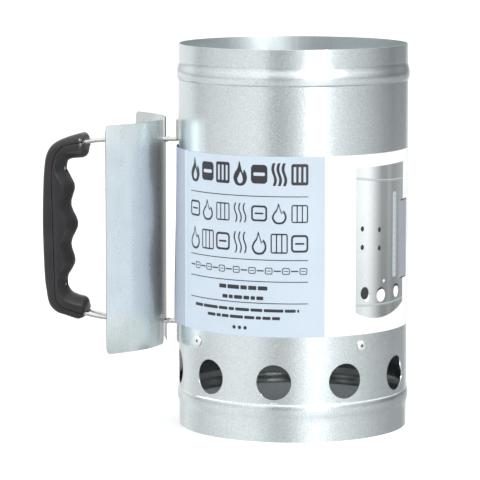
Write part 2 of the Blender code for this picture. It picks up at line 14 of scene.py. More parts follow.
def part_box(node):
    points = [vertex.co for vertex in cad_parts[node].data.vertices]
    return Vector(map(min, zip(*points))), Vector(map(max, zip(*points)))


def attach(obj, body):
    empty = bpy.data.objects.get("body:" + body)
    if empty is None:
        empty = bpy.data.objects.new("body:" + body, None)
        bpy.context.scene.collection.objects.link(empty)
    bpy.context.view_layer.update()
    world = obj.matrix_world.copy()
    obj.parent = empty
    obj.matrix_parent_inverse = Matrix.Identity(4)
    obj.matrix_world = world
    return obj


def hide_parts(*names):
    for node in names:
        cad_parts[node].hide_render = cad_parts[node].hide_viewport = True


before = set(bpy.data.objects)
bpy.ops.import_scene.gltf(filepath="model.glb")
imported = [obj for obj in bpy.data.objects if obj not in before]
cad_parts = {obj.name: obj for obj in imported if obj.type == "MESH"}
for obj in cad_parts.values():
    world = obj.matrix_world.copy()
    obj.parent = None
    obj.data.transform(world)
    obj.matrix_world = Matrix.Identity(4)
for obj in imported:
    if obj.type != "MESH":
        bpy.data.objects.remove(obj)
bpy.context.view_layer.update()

SHELL_LOW, SHELL_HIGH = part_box("body_shell")
GRATE_LOW, GRATE_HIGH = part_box("charcoal_grate")
SLEEVE_LOW, SLEEVE_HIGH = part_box("card_sleeve")
SHIELD_LOW, SHIELD_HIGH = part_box("heat_shield")
RIVET_LOW, RIVET_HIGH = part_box("grate_rivet_1")

AXIS_X = (SHELL_LOW.x + SHELL_HIGH.x) / 2
TUBE_HEIGHT = SHELL_HIGH.z
BEAD_RADIUS = (SHELL_HIGH.x - SHELL_LOW.x) / 2
TUBE_RADIUS = BEAD_RADIUS - 0.0011
COLLAR_RADIUS = TUBE_RADIUS - 0.0003
SHEET = 0.0006
GAP = 0.0003
HANDLE_ANGLE = -90.0

# A bead's start, crest and inner crease, measured from its end of the tube.
UPPER_BEAD = (0.0123, 0.0209, 0.0253)
LOWER_BEAD = (0.0138, 0.0222, 0.0268)
RIM = 0.0001

SEAM_ANGLE = 158.0
SEAM_HALF = 2.6
SEAM_SHOULDER = 0.08
SEAM_GROOVE = 0.14
SEAM_DEPTH = 0.00022

VENT_COUNT = 10
VENT_RADIUS = 0.0125
VENT_Z = 0.0424
AIR_HOLE_COLUMNS = 8
AIR_HOLE_RADIUS = 0.003
AIR_HOLE_ROWS = (0.126, 0.160)

RIVET_ANGLES = (-45.0, 45.0, 135.0, -135.0)
RIVET_Z = (RIVET_LOW.z + RIVET_HIGH.z) / 2
RIVET_HOLE_RADIUS = 0.0023
RIVET_HEAD_RADIUS = 0.0036
RIVET_HEAD_HEIGHT = 0.0011
RIVET_SHANK_RADIUS = 0.0020
RIVET_TAIL_RADIUS = 0.0026
RIVET_TAIL_REACH = 0.0726
RIVET_BORE = 0.0012

WIRE_RADIUS = 0.0013
WIRE_BEND = 0.0018
NEAR_SPACING = 0.0030
GRIP_SPACING = 0.0075
UPPER_WIRE_Z = 0.2040
LOWER_WIRE_Z = 0.0712
FOOT_LENGTH = 0.0148
FOOT_TAIL = 0.0060
WIRE_FEET = (UPPER_WIRE_Z + FOOT_LENGTH, LOWER_WIRE_Z - FOOT_LENGTH)
SWAGE_RADIUS = 0.0019
SWAGE_SHAPE = ((0.0010, 0.0), (0.0016, 0.8), (0.0022, 1.0), (0.0028, 0.8), (0.0034, 0.15), (0.0042, 0.0))
FOOT_DENT_DEPTH = 0.0006
FOOT_DENT_SIZE = (0.0012, 0.0020)

SHIELD_REACH = 0.0943
SHIELD_ARC_RADIUS = 0.0700
SHIELD_HALF_TURN = math.radians(43.0)
SHIELD_FLANGE = 0.0190
SHIELD_TWIST = math.radians(2.3)
SHIELD_BOTTOM = SHIELD_LOW.z
SHIELD_TOP = SHIELD_HIGH.z
SHIELD_CORNER = 0.0040
SLOT_HALF_WIDTH = 0.0060
SLOT_CORNER = 0.0012
SLOT_MOUTH = 0.0030
SLOT_PLAY = 0.0005

SCREW_HEIGHTS = (0.1812, 0.0960)
SCREW_REACH = 0.1682
SCREW_WAY_RADIUS = 0.0039
SCREW_WAY_DEPTH = 0.0215
SCREW_HEAD_RADIUS = 0.0027
SCREW_SHANK_RADIUS = 0.0014
SCREW_LENGTH = 0.0118
# Half the length and half the width of one arm of the recess, in millimetres.
SCREW_CROSS = (1.7, 0.42)

SLEEVE_BOTTOM = SLEEVE_LOW.z
SLEEVE_TOP = SLEEVE_HIGH.z
SLEEVE_THICKNESS = 0.0004
SLEEVE_STAND_OFF = 0.0034
SLEEVE_TOP_BULGE = 0.30
SLEEVE_ROWS = 13
SLEEVE_EDGE = 0.00008
FOLD_STEPS = (-0.5, -0.15, 0.0, 0.15, 0.5)
CREASE_NEAR = 33.0
CREASE_FAR = 2.6
PANEL_EDGE = 24.9
WRAP_MIDDLE = 0.1135
WRAP_PITCH = 0.0775
WRAP_REACH = 8.0
WRAP_WAVE = 2.5

PICTURE_SPAN = (41.2, 79.0)
CAMERA_ANGLE = 9.3


# Geometry helpers ---------------------------------------------------------------------------

def polar(radius, degrees, z):
    """Points about the tube's axis, one row each."""
    turn = np.radians(degrees)
    x, y, z = np.broadcast_arrays(AXIS_X + radius * np.sin(turn), -radius * np.cos(turn), z)
    return np.stack((x, y, z), axis=-1)


def towards_handle(reach, y, z):
    return np.array((AXIS_X - reach, y, z))


def unit(ways):
    length = np.linalg.norm(ways, axis=-1, keepdims=True)
    return ways / np.maximum(length, 1e-12)


def inside_loops(points, loops):
    """Even-odd test of points against a set of closed loops."""
    crossings = np.zeros(len(points), int)
    for loop in loops:
        start = np.array(loop)
        end = np.roll(start, -1, axis=0)
        for (ax, ay), (bx, by) in zip(start, end):
            spans = (ay > points[:, 1]) != (by > points[:, 1])
            if ay != by:
                x = ax + (points[:, 1] - ay) * (bx - ax) / (by - ay)
                crossings += spans & (points[:, 0] < x)
    return crossings % 2 == 1


def clearance(points, loops):
    """Each point's distance from the nearest point of some loops."""
    rim = np.concatenate([np.array(loop) for loop in loops])
    return np.min(np.hypot(*(points[:, None] - rim[None]).transpose(2, 0, 1)), axis=1)


def densify(loop, longest):
    """Splits a loop's sides so that none is longer than a length."""
    dense = []
    for start, end in zip(loop, list(loop[1:]) + [loop[0]]):
        start, end = np.array(start), np.array(end)
        count = max(int(math.ceil(np.linalg.norm(end - start) / longest)), 1)
        dense += [tuple(start + (end - start) * k / count) for k in range(count)]
    return dense


def plate(loops, loose=()):
    """Points and triangles of a flat plate with holes, from its loops and some inner points."""
    points, edges = [], []
    for loop in loops:
        first = len(points)
        points += [tuple(p) for p in loop]
        edges += [(first + k, first + (k + 1) % len(loop)) for k in range(len(loop))]
    points += [tuple(p) for p in loose]
    made = delaunay_2d_cdt([Vector(p) * 1000 for p in points], edges, [], 0, 1e-5)
    flat = np.array([(p.x, p.y) for p in made[0]]) / 1000
    triangles = np.array([list(face) for face in made[2]])
    keep = inside_loops(flat[triangles].mean(axis=1), loops)
    triangles = triangles[keep]
    side_a = flat[triangles[:, 1]] - flat[triangles[:, 0]]
    side_b = flat[triangles[:, 2]] - flat[triangles[:, 0]]
    wrong = side_a[:, 0] * side_b[:, 1] < side_a[:, 1] * side_b[:, 0]
    triangles[wrong] = triangles[wrong][:, ::-1]
    return flat, triangles


def surface_normals(place, flat, step=2e-5):
    """The normals of a bent surface at the points of its flat sheet."""
    s, z = flat.T
    along = place(s + step, z) - place(s - step, z)
    up = place(s, z + step) - place(s, z - step)
    return unit(np.cross(along, up))


def bent_sheet(flat, triangles, place, place_back, bulge):
    """A closed sheet bent into shape: its two sides and a slightly rounded edge."""
    front, back = place(*flat.T), place_back(*flat.T)
    front_normals = surface_normals(place, flat)
    back_normals = -surface_normals(place_back, flat)
    directed = {}
    for a, b, c in triangles:
        for edge in ((a, b), (b, c), (c, a)):
            directed[edge] = directed.get(edge, 0) + 1
    border = [edge for edge in directed if (edge[1], edge[0]) not in directed]
    away = np.zeros_like(front)
    for a, b in border:
        out = unit(np.cross(front[b] - front[a], front_normals[a]))
        away[a] += out
        away[b] += out
    rim = sorted({a for edge in border for a in edge})
    rank = {a: k for k, a in enumerate(rim)}
    away = unit(away[rim])
    middle, half = (front[rim] + back[rim]) / 2, (front[rim] - back[rim]) / 2
    points, normals = [front, back], [front_normals, back_normals]
    total = len(flat)
    ring_starts = []
    for degrees in (35.0, 90.0, 145.0):
        turn = math.radians(degrees)
        points.append(middle + math.cos(turn) * half + bulge * math.sin(turn) * away)
        normals.append(unit(unit(half) * math.cos(turn) + away * math.sin(turn) * 1.6))
        ring_starts.append(2 * total + len(rim) * len(ring_starts))
    faces = [tuple(int(v) for v in t) for t in triangles]
    faces += [(a + total, c + total, b + total) for a, b, c in faces]
    for a, b in border:
        ladder = [(a, b)] + [(start + rank[a], start + rank[b]) for start in ring_starts]
        ladder.append((a + total, b + total))
        for (left, right), (low_left, low_right) in zip(ladder, ladder[1:]):
            faces.append((int(right), int(left), int(low_left), int(low_right)))
    return np.concatenate(points), faces, np.concatenate(normals)


def merged(parts):
    """Joins several (points, faces, normals) sets into one."""
    points, faces, normals, offset = [], [], [], 0
    for part_points, part_faces, part_normals in parts:
        points.append(part_points)
        normals.append(part_normals)
        faces += [tuple(v + offset for v in face) for face in part_faces]
        offset += len(part_points)
    return np.concatenate(points), faces, np.concatenate(normals)


def make_piece(name, points, faces, look, normals=None, sharp=35.0):
    """A smooth-shaded mesh object, with its own normals if they are given."""
    mesh = bpy.data.meshes.new(name)
    mesh.from_pydata([tuple(p) for p in points], [], faces)
    mesh.validate()
    mesh.shade_smooth()
    if normals is None:
        mesh.set_sharp_from_angle(angle=math.radians(sharp))
    else:
        mesh.normals_split_custom_set_from_vertices([tuple(n) for n in normals])
    mesh.materials.append(look)
    item = bpy.data.objects.new(name, mesh)
    bpy.context.scene.collection.objects.link(item)
    return item


def settle(item, body, nodes):
    """Ties a piece to its body and hides the CAD nodes that it stands for."""
    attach(item, body)
    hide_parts(*nodes)


def circle(s, z, radius, sides, squeeze=1.0):
    """A circle in a flat sheet, which may be squeezed sideways."""
    turns = [2 * math.pi * k / sides for k in range(sides)]
    return [(s + squeeze * radius * math.cos(t), z + radius * math.sin(t)) for t in turns]


def skin(rings):
    """Points and faces of a row of equal rings, with flat ends."""
    count = len(rings[0])
    points = np.concatenate(rings)
    faces = []
    for i in range(len(rings) - 1):
        for k in range(count):
            a, b = i * count + k, i * count + (k + 1) % count
            faces.append((a, b, b + count, a + count))
    faces.append(tuple(range(count))[::-1])
    last = (len(rings) - 1) * count
    faces.append(tuple(last + k for k in range(count)))
    return points, faces


def turned(profile, sides, place):
    """A solid of revolution about Z from a closed (radius, z) profile, moved into place."""
    points, faces, rings = [], [], []
    for radius, z in profile:
        if radius == 0:
            rings.append([len(points)] * sides)
            points.append((0, 0, z))
            continue
        rings.append(list(range(len(points), len(points) + sides)))
        for k in range(sides):
            turn = 2 * math.pi * k / sides
            points.append((radius * math.cos(turn), radius * math.sin(turn), z))
    for lower, upper in zip(rings, rings[1:] + rings[:1]):
        for k in range(sides):
            corners = [lower[k - 1], lower[k], upper[k], upper[k - 1]]
            corners = list(dict.fromkeys(corners))
            if len(corners) > 2:
                faces.append(tuple(corners))
    moved = [tuple(place @ Vector(p)) for p in points]
    return np.array(moved), faces


def outward_place(degrees, z):
    """Turns +Z to point out of the tube's axis at a plan angle."""
    out = Vector(polar(1.0, degrees, 0.0)) - Vector(polar(0.0, degrees, 0.0))
    turn = out.to_track_quat("Z", "Y").to_matrix().to_4x4()
    return Matrix.Translation(Vector(polar(0.0, degrees, z))) @ turn


def spline(knots, per_span):
    """A smooth curve through every knot but the first and the last."""
    knots = np.array(knots, float)
    curve = []
    for a, b, c, d in zip(knots, knots[1:], knots[2:], knots[3:]):
        for t in np.arange(per_span) / per_span:
            curve.append(0.5 * (2 * b + (c - a) * t + (2 * a - 5 * b + 4 * c - d) * t**2
                                + (3 * b - a - 3 * c + d) * t**3))
    return curve


def open_curve(points, per_span):
    points = list(points)
    return np.array(spline(points[:1] + points + points[-1:], per_span) + [np.array(points[-1], float)])


def closed_curve(points, per_span=6):
    points = list(points)
    return [tuple(point) for point in spline(points[-1:] + points + points[:2], per_span)]


# Looks --------------------------------------------------------------------------------------

COLOUR_A, COLOUR_B, COLOUR_MADE = 6, 7, 2
INNER_ROUGHNESS = 0.22
INNER_FACING = -TUBE_RADIUS / 4
# Painted shade on the tube's inner face: the share of colour taken away above the grate. The last three add
# up to the bands under it.
UPPER_PAINTED_SHADE = 0.30
FOOT_PAINTED_SHADE, BEAD_PAINTED_SHADE, VENT_PAINTED_SHADE = 0.14, 0.46, 0.20


class Nodes:
    """Short ways to add nodes to a tree."""

    def __init__(self, tree):
        self.tree = tree

    def link(self, value, socket):
        if isinstance(value, bpy.types.NodeSocket):
            self.tree.links.new(value, socket)
        else:
            socket.default_value = value

    def add(self, kind, **inputs):
        made = self.tree.nodes.new(kind)
        for key, value in inputs.items():
            self.link(value, made.inputs[key.replace("_", " ")])
        return made

    def maths(self, operation, first, second=0.0):
        made = self.tree.nodes.new("ShaderNodeMath")
        made.operation = operation
        self.link(first, made.inputs[0])
        self.link(second, made.inputs[1])
        return made.outputs[0]

    def plus(self, first, second):
        return self.maths("ADD", first, second)

    def minus(self, first, second):
        return self.maths("SUBTRACT", first, second)

    def times(self, first, second):
        return self.maths("MULTIPLY", first, second)

    def apart(self, vector):
        """The x, y and z of a vector."""
        return self.add("ShaderNodeSeparateXYZ", Vector=vector).outputs

    def plan_angle(self, x, y):
        """The plan angle in radians, from -Y towards +X."""
        return self.maths("ARCTAN2", x, self.times(y, -1.0))

    def mix(self, factor, first, second, mode="MIX"):
        made = self.add("ShaderNodeMix")
        made.data_type = "RGBA"
        made.blend_type = mode
        self.link(factor, made.inputs["Factor"])
        self.link(first, made.inputs[COLOUR_A])
        self.link(second, made.inputs[COLOUR_B])
        return made.outputs[COLOUR_MADE]

    def spread(self, value, low, high, low_in=0.3, high_in=0.7):
        """Stretches a value's middle range over another range."""
        inputs = {"From_Min": low_in, "From_Max": high_in, "To_Min": low, "To_Max": high}
        return self.add("ShaderNodeMapRange", Value=value, **inputs).outputs["Result"]

    def ramp(self, value, stops):
        """A colour ramp through (place, colour) stops, the first at 0 and the last at 1."""
        made = self.add("ShaderNodeValToRGB", Fac=value)
        ends = made.color_ramp.elements
        ends[0].color = stops[0][1]
        ends[1].color = stops[-1][1]
        for place, colour in stops[1:-1]:
            ends.new(place).color = colour
        return made.outputs["Color"]


class Look(Nodes):
    """A Principled material, in the object's own coordinates."""

    def __init__(self, name, **uniform):
        self.material = bpy.data.materials.new(name)
        self.material.use_nodes = True
        super().__init__(self.material.node_tree)
        self.shader = self.tree.nodes["Principled BSDF"]
        self.place = self.add("ShaderNodeTexCoord").outputs["Object"]
        for key, value in uniform.items():
            self.shader.inputs[key.replace("_", " ")].default_value = value

    def stretched(self, scale):
        made = self.add("ShaderNodeMapping", Vector=self.place)
        made.inputs["Scale"].default_value = scale
        return made.outputs["Vector"]

    def noise(self, scale, detail=2.0, vector=None):
        place = vector or self.place
        return self.add("ShaderNodeTexNoise", Vector=place, Scale=scale, Detail=detail).outputs["Fac"]

    def grey(self, value):
        return self.add("ShaderNodeCombineColor", Red=value, Green=value, Blue=value).outputs[0]

    def shaded(self, colour, shade):
        """A colour made darker or lighter by a number."""
        return self.mix(1.0, colour, self.grey(shade), "MULTIPLY")

    def angle_and_height(self):
        """The plan angle about the tube's axis in degrees, and the height."""
        parts = self.apart(self.place)
        angle = self.plan_angle(self.minus(parts["X"], AXIS_X), parts["Y"])
        return self.maths("DEGREES", angle), parts["Z"]

    def inner_face(self):
        """1 on faces that look towards the tube's axis and 0 elsewhere, with the height."""
        parts = self.apart(self.place)
        facing = self.apart(self.add("ShaderNodeTexCoord").outputs["Normal"])
        along_x = self.times(self.minus(parts["X"], AXIS_X), facing["X"])
        outward = self.plus(along_x, self.times(parts["Y"], facing["Y"]))
        return self.maths("LESS_THAN", outward, INNER_FACING), parts["Z"]

    def painted_inner_shade(self):
        """Painted shade: darker colour on the tube's inner face, most of all under the grate, and 1
        elsewhere.
        """
        wall, z = self.inner_face()
        low = self.maths("LESS_THAN", z, GRATE_LOW.z)
        bead = self.times(self.maths("GREATER_THAN", z, LOWER_BEAD[0]), BEAD_PAINTED_SHADE)
        high = self.times(self.maths("GREATER_THAN", z, LOWER_BEAD[2]), VENT_PAINTED_SHADE)
        shade_depth = self.plus(self.plus(bead, high), FOOT_PAINTED_SHADE)
        under = self.times(low, self.minus(shade_depth, UPPER_PAINTED_SHADE))
        return self.minus(1.0, self.times(wall, self.plus(under, UPPER_PAINTED_SHADE)))

    def bump(self, height, strength, distance):
        made = self.add("ShaderNodeBump", Height=height, Strength=strength, Distance=distance)
        self.link(made.outputs["Normal"], self.shader.inputs["Normal"])

    def paint(self, colour, roughness=None):
        self.link(colour, self.shader.inputs["Base Color"])
        if roughness is not None:
            self.link(roughness, self.shader.inputs["Roughness"])
        return self.material


def galvanised_look(name, tint, low, high, grain=1.0, metallic=1.0, paint_inner_shade=False):
    """Zinc-coated sheet: a fine even grain, faint larger clouds and soft scratches."""
    look = Look(name, Metallic=metallic)
    fine = look.noise(1500.0)
    cloud = look.noise(38.0, 3.0)
    scratch = look.noise(160.0, 3.0, look.stretched((1.0, 1.0, 0.06)))
    grained = look.spread(fine, 1.0 - 0.15 * grain, 1.0 + 0.10 * grain)
    shade = look.times(grained, look.spread(cloud, 0.97, 1.02))
    rough = look.plus(look.spread(fine, low, high), look.spread(scratch, -0.02, 0.03))
    if paint_inner_shade:
        # Painted shade darkens the inner face's colour, and above the grate the metal there is also rougher.
        shade = look.times(shade, look.painted_inner_shade())
        wall, z = look.inner_face()
        above = look.times(wall, look.maths("GREATER_THAN", z, GRATE_LOW.z))
        rough = look.plus(rough, look.times(above, INNER_ROUGHNESS))
    look.bump(fine, 0.56 * grain, 0.00010)
    return look.paint(look.shaded((*tint, 1.0), shade), rough)


def plain_metal_look(name, tint, low, high, streak=(1.0, 1.0, 1.0), scale=900.0, metallic=1.0):
    """Small metal parts: one fine noise in the colour, the shine and the surface."""
    look = Look(name, Metallic=metallic)
    fine = look.noise(scale, 3.0, look.stretched(streak))
    look.bump(fine, 0.2, 0.00006)
    return look.paint(look.shaded((*tint, 1.0), look.spread(fine, 0.82, 1.06)), look.spread(fine, low, high))


def plastic_look():
    """Black moulded plastic: a fine spark finish, faint clouds and lengthways scuffs."""
    look = Look("black_plastic", Metallic=0.0, Specular_IOR_Level=0.62)
    spark = look.noise(2600.0)
    cloud = look.noise(55.0, 3.0)
    scuff = look.noise(320.0, 3.0, look.stretched((1.0, 1.0, 0.12)))
    dark, pale = (0.0092, 0.0072, 0.0092, 1), (0.0152, 0.0126, 0.0152, 1)
    look.bump(spark, 0.30, 0.00008)
    rough = look.plus(look.spread(cloud, 0.34, 0.42), look.spread(scuff, -0.03, 0.05))
    return look.paint(look.mix(look.spread(cloud, 0.0, 1.0), dark, pale), rough)


def card_look():
    """Coated card: pale blue front, white panel, greyer folded side and a black rear panel."""
    look = Look("printed_card", Metallic=0.0, Specular_IOR_Level=0.4)
    angle, height = look.angle_and_height()
    fibre = look.noise(700.0, 4.0)
    cloud = look.noise(30.0)
    blue, white = (0.478, 0.556, 0.632, 1.0), (0.83, 0.835, 0.84, 1.0)
    side, black = (0.375, 0.420, 0.505, 1.0), (0.022, 0.022, 0.025, 1.0)
    # The colour is paler along a narrow line at the near fold.
    pale_fold_line, fold_half, fold_share = (0.70, 0.75, 0.80, 1.0), 0.8, 0.45
    crease = HANDLE_ANGLE + CREASE_NEAR
    turn = look.times(look.minus(height, WRAP_MIDDLE), 2 * math.pi / WRAP_PITCH)
    wrap = look.plus(look.times(look.maths("COSINE", turn), WRAP_WAVE), WRAP_REACH)
    rear = look.maths("LESS_THAN", look.minus(angle, wrap), HANDLE_ANGLE + CREASE_FAR)
    off_fold = look.maths("ABSOLUTE", look.minus(angle, crease))
    fold = look.times(look.maths("LESS_THAN", off_fold, fold_half), fold_share)
    colour = look.mix(look.maths("GREATER_THAN", angle, PANEL_EDGE), blue, white)
    colour = look.mix(look.maths("LESS_THAN", angle, crease), colour, side)
    colour = look.mix(fold, colour, pale_fold_line)
    colour = look.mix(rear, colour, black)
    colour = look.shaded(colour, look.spread(cloud, 0.975, 1.015))
    colour = look.shaded(colour, look.spread(fibre, 0.985, 1.01))
    look.bump(fibre, 0.12, 0.00005)
    return look.paint(colour, look.spread(cloud, 0.42, 0.52))


def ink_look(name, colour):
    look = Look(name, Metallic=0.0)
    fibre = look.noise(900.0, 3.0)
    shade = look.spread(fibre, 0.90, 1.06)
    return look.paint(look.shaded((*colour, 1.0), shade), look.spread(fibre, 0.41, 0.51))


PICTURE_BANDS = (
    (0.11, 0.66), (0.175, 0.69), (0.24, 0.61), (0.30, 0.48), (0.37, 0.33), (0.44, 0.215), (0.53, 0.205),
    (0.60, 0.27), (0.69, 0.20), (0.80, 0.24), (0.92, 0.29),
)


def picture_look():
    """The printed picture's metal: upright soft bands, as a polished tube shows."""
    look = Look("picture_metal", Metallic=0.0)
    angle, height = look.angle_and_height()
    bands = [(place, (shade, shade * 1.05, shade * 1.07, 1)) for place, shade in PICTURE_BANDS]
    stops = [(0.0, (0.57, 0.62, 0.62, 1)), *bands, (1.0, (0.28, 0.29, 0.33, 1))]
    colour = look.ramp(look.spread(angle, 0.0, 1.0, *PICTURE_SPAN), stops)
    fibre = look.noise(900.0, 3.0)
    shade = look.times(look.spread(height, 0.84, 1.04, 0.105, 0.165), look.spread(fibre, 0.93, 1.04))
    return look.paint(look.shaded(colour, shade), look.spread(fibre, 0.40, 0.52))


# Tube ---------------------------------------------------------------------------------------

def bead_radius(end, bead):
    """The wall's radius near one end: soft away from the rim's side, sharp towards the middle."""
    start, peak, crease = bead
    soft = np.clip((end - start) / (peak - start), 0.0, 1.0)
    sharp = np.clip((end - peak) / (crease - peak), 0.0, 1.0)
    rising = COLLAR_RADIUS + (BEAD_RADIUS - COLLAR_RADIUS) * np.sin(soft * math.pi / 2) ** 2
    falling = TUBE_RADIUS + (BEAD_RADIUS - TUBE_RADIUS) * np.sqrt(1.0 - sharp**2)
    return np.where(end < peak, rising, falling)


def seam_shape(degrees, half_degrees, edge_degrees):
    """1 on the rear lock seam and 0 away from it, with narrow shoulders."""
    off = np.abs((degrees - SEAM_ANGLE + 180.0) % 360.0 - 180.0)
    return np.clip((half_degrees - off) / edge_degrees + 0.5, 0.0, 1.0)


def wall_radius(degrees, z):
    low = bead_radius(z, LOWER_BEAD)
    high = bead_radius(TUBE_HEIGHT - z, UPPER_BEAD)
    radius = np.where(z < TUBE_HEIGHT / 2, low, high)
    wide, tall = FOOT_DENT_SIZE
    for foot_z in WIRE_FEET:
        way = 1.0 if foot_z > TUBE_HEIGHT / 2 else -1.0
        for side in (-1.0, 1.0):
            across = TUBE_RADIUS * np.radians(degrees - HANDLE_ANGLE) - side * NEAR_SPACING
            up = z - foot_z - way * FOOT_TAIL * 0.8
            radius = radius + FOOT_DENT_DEPTH * np.exp(-(across / wide) ** 2 - (up / tall) ** 2)
    return radius


def wall_outside(s, z):
    degrees = np.degrees(s / TUBE_RADIUS)
    outer = seam_shape(degrees, SEAM_HALF + SEAM_GROOVE, SEAM_SHOULDER)
    groove = outer - seam_shape(degrees, SEAM_HALF, SEAM_SHOULDER)
    return polar(wall_radius(degrees, z) - SEAM_DEPTH * groove, degrees, z)


def wall_inside(s, z):
    degrees = np.degrees(s / TUBE_RADIUS)
    return polar(wall_radius(degrees, z) - SHEET, degrees, z)


BEAD_STEPS = (0.25, 0.45, 0.62, 0.76, 0.87, 0.94, 0.98, 1.0)
JOIN_ANGLE = -12.0


def wall_columns():
    """Places round the tube, closer together at the rear seam and behind the handle."""
    degrees = list(np.arange(JOIN_ANGLE, JOIN_ANGLE + 360.01, 2.0))
    for edge in (SEAM_HALF, -SEAM_HALF):
        degrees += [SEAM_ANGLE + edge + math.copysign(off, edge) for off in (0.0, 0.08, 0.2, 0.3)]
    degrees += list(270.0 + np.arange(-3.6, 3.7, 0.4))
    return sorted({round(math.radians(d) * TUBE_RADIUS, 7) for d in degrees})


def end_rows(bead):
    """Rows of points near one end of the tube, measured from that end."""
    start, peak, crease = bead
    rows = [RIM, 0.001, 0.004, 0.008, 0.012]
    rows += list(start + (peak - start) * np.linspace(0, 1, 9))
    rows += list(peak + (crease - peak) * np.array(BEAD_STEPS))
    return rows + [crease + 0.0004]


def wall_rows():
    rows = end_rows(LOWER_BEAD) + list(np.arange(0.0305, 0.2440, 0.0055))
    rows += [TUBE_HEIGHT - row for row in end_rows(UPPER_BEAD)]
    return sorted({round(row, 7) for row in rows})


def wall_holes():
    """The angle, height, radius and number of sides of every hole in the wall."""
    holes = [(360.0 / VENT_COUNT * k, VENT_Z, VENT_RADIUS, 56) for k in range(VENT_COUNT)]
    for k in range(AIR_HOLE_COLUMNS):
        holes += [(360.0 / AIR_HOLE_COLUMNS * k, z, AIR_HOLE_RADIUS, 24) for z in AIR_HOLE_ROWS]
    holes += [(angle % 360.0, RIVET_Z, RIVET_HOLE_RADIUS, 18) for angle in RIVET_ANGLES]
    for foot_z in WIRE_FEET:
        for side in (-1, 1):
            aside = math.degrees(side * NEAR_SPACING / TUBE_RADIUS)
            holes.append((270.0 + aside, foot_z, WIRE_RADIUS + 2 * GAP, 18))
    return holes


def joined_round(flat, triangles, first, last):
    """Lets the triangles at the last column use the first column's points."""
    start = {round(float(z), 6): i for i, (s, z) in enumerate(flat) if abs(s - first) < 1e-6}
    swap = np.arange(len(flat))
    for i, (s, z) in enumerate(flat):
        if abs(s - last) < 1e-6:
            swap[i] = start[round(float(z), 6)]
    used, compact = np.unique(swap[triangles], return_inverse=True)
    return flat[used], compact.reshape(triangles.shape)


def make_body_shell(look):
    """The wall, laid out flat with its holes and then rolled up."""
    turn = 2 * math.pi * TUBE_RADIUS
    columns, rows = wall_columns(), wall_rows()
    border = [(columns[0], row) for row in rows[::-1]] + [(s, rows[0]) for s in columns[1:-1]]
    border += [(columns[-1], row) for row in rows] + [(s, rows[-1]) for s in columns[-2:0:-1]]
    loops = [border]
    grid = np.array([(s, row) for s in columns[1:-1] for row in rows[1:-1]])
    clear = np.ones(len(grid), bool)
    extra = []
    for angle, z, radius, sides in wall_holes():
        s = math.radians(angle) * TUBE_RADIUS
        loops.append(circle(s, z, radius, sides))
        ring = radius * 1.12 + 0.0003
        extra += circle(s, z, ring, sides)
        for shift in (0.0, turn, -turn):
            clear &= np.hypot(grid[:, 0] - s - shift, grid[:, 1] - z) > ring + 0.0009
    flat, triangles = plate(loops, list(map(tuple, grid[clear])) + extra)
    flat, triangles = joined_round(flat, triangles, columns[0], columns[-1])
    points, faces, normals = bent_sheet(flat, triangles, wall_outside, wall_inside, RIM)
    shell = make_piece("tube", points, faces, look, normals)
    settle(shell, "starter", ["body_shell"])


# Rivets -------------------------------------------------------------------------------------

def make_rivets(aluminium, steel):
    head = TUBE_RADIUS + GAP
    top = head + RIVET_HEAD_HEIGHT
    wall = TUBE_RADIUS - SHEET - GAP
    wide, shank, bulge = RIVET_HEAD_RADIUS, RIVET_SHANK_RADIUS, RIVET_TAIL_RADIUS
    tail, bore = RIVET_TAIL_REACH, RIVET_BORE
    rivet = [(bore, top - 0.0001), (bore + 0.0001, top)]
    for degrees in range(0, 91, 10):
        turn = math.radians(degrees)
        rivet.append((0.0019 + 0.0017 * math.sin(turn), head + 0.0002 + 0.0009 * math.cos(turn)))
    rivet += [(wide, head), (shank, head), (shank, wall), (0.0024, wall - 0.0003), (bulge, wall - 0.0009)]
    rivet += [(bulge, tail + 0.0007), (0.0024, tail + 0.0002), (0.0021, tail), (bore, tail)]
    pin = bore - GAP / 2
    bulb = tail - GAP
    mandrel = [(0.0, top - 0.00045), (pin * 0.6, top - 0.0005), (pin, top - 0.0007), (pin, bulb),
               (0.0019, bulb), (0.0020, bulb - 0.0001), (0.0020, bulb - 0.0010),
               (0.0016, bulb - 0.0015), (0.0010, bulb - 0.00175), (0.0, bulb - 0.0018)]
    for number, degrees in enumerate(RIVET_ANGLES, start=1):
        place = outward_place(degrees, RIVET_Z)
        item = make_piece(f"rivet_{number}", *turned(rivet, 32, place), aluminium)
        settle(item, "starter", [f"grate_rivet_{number}"])
        item = make_piece(f"mandrel_{number}", *turned(mandrel, 20, place), steel)
        settle(item, "starter", [f"rivet_mandrel_{number}"])


# Grate --------------------------------------------------------------------------------------

def make_grate(look):
    radius = (GRATE_HIGH.x - GRATE_LOW.x) / 2 - 0.00005
    pitch, hole, rings = 0.0155, 0.0045, 4
    loops = [circle(0.0, 0.0, radius, 120), circle(0.0, 0.0, hole, 28)]
    for ring in range(1, rings + 1):
        for side in range(6):
            start, along = math.radians(60 * side), math.radians(60 * side + 120)
            for k in range(ring):
                x = ring * math.cos(start) + k * math.cos(along)
                y = ring * math.sin(start) + k * math.sin(along)
                loops.append(circle(x * pitch, y * pitch, hole, 28))
    flat, triangles = plate(loops)

    def top(x, y):
        return np.stack((AXIS_X + x, y, np.full_like(x, GRATE_HIGH.z)), axis=-1)

    def underside(x, y):
        return np.stack((AXIS_X + x, y, np.full_like(x, GRATE_LOW.z)), axis=-1)

    points, faces, normals = bent_sheet(flat, triangles, top, underside, 0.00005)
    grate = make_piece("grate", points, faces, look, normals)
    settle(grate, "loose_grate", ["charcoal_grate"])


# Heat shield --------------------------------------------------------------------------------

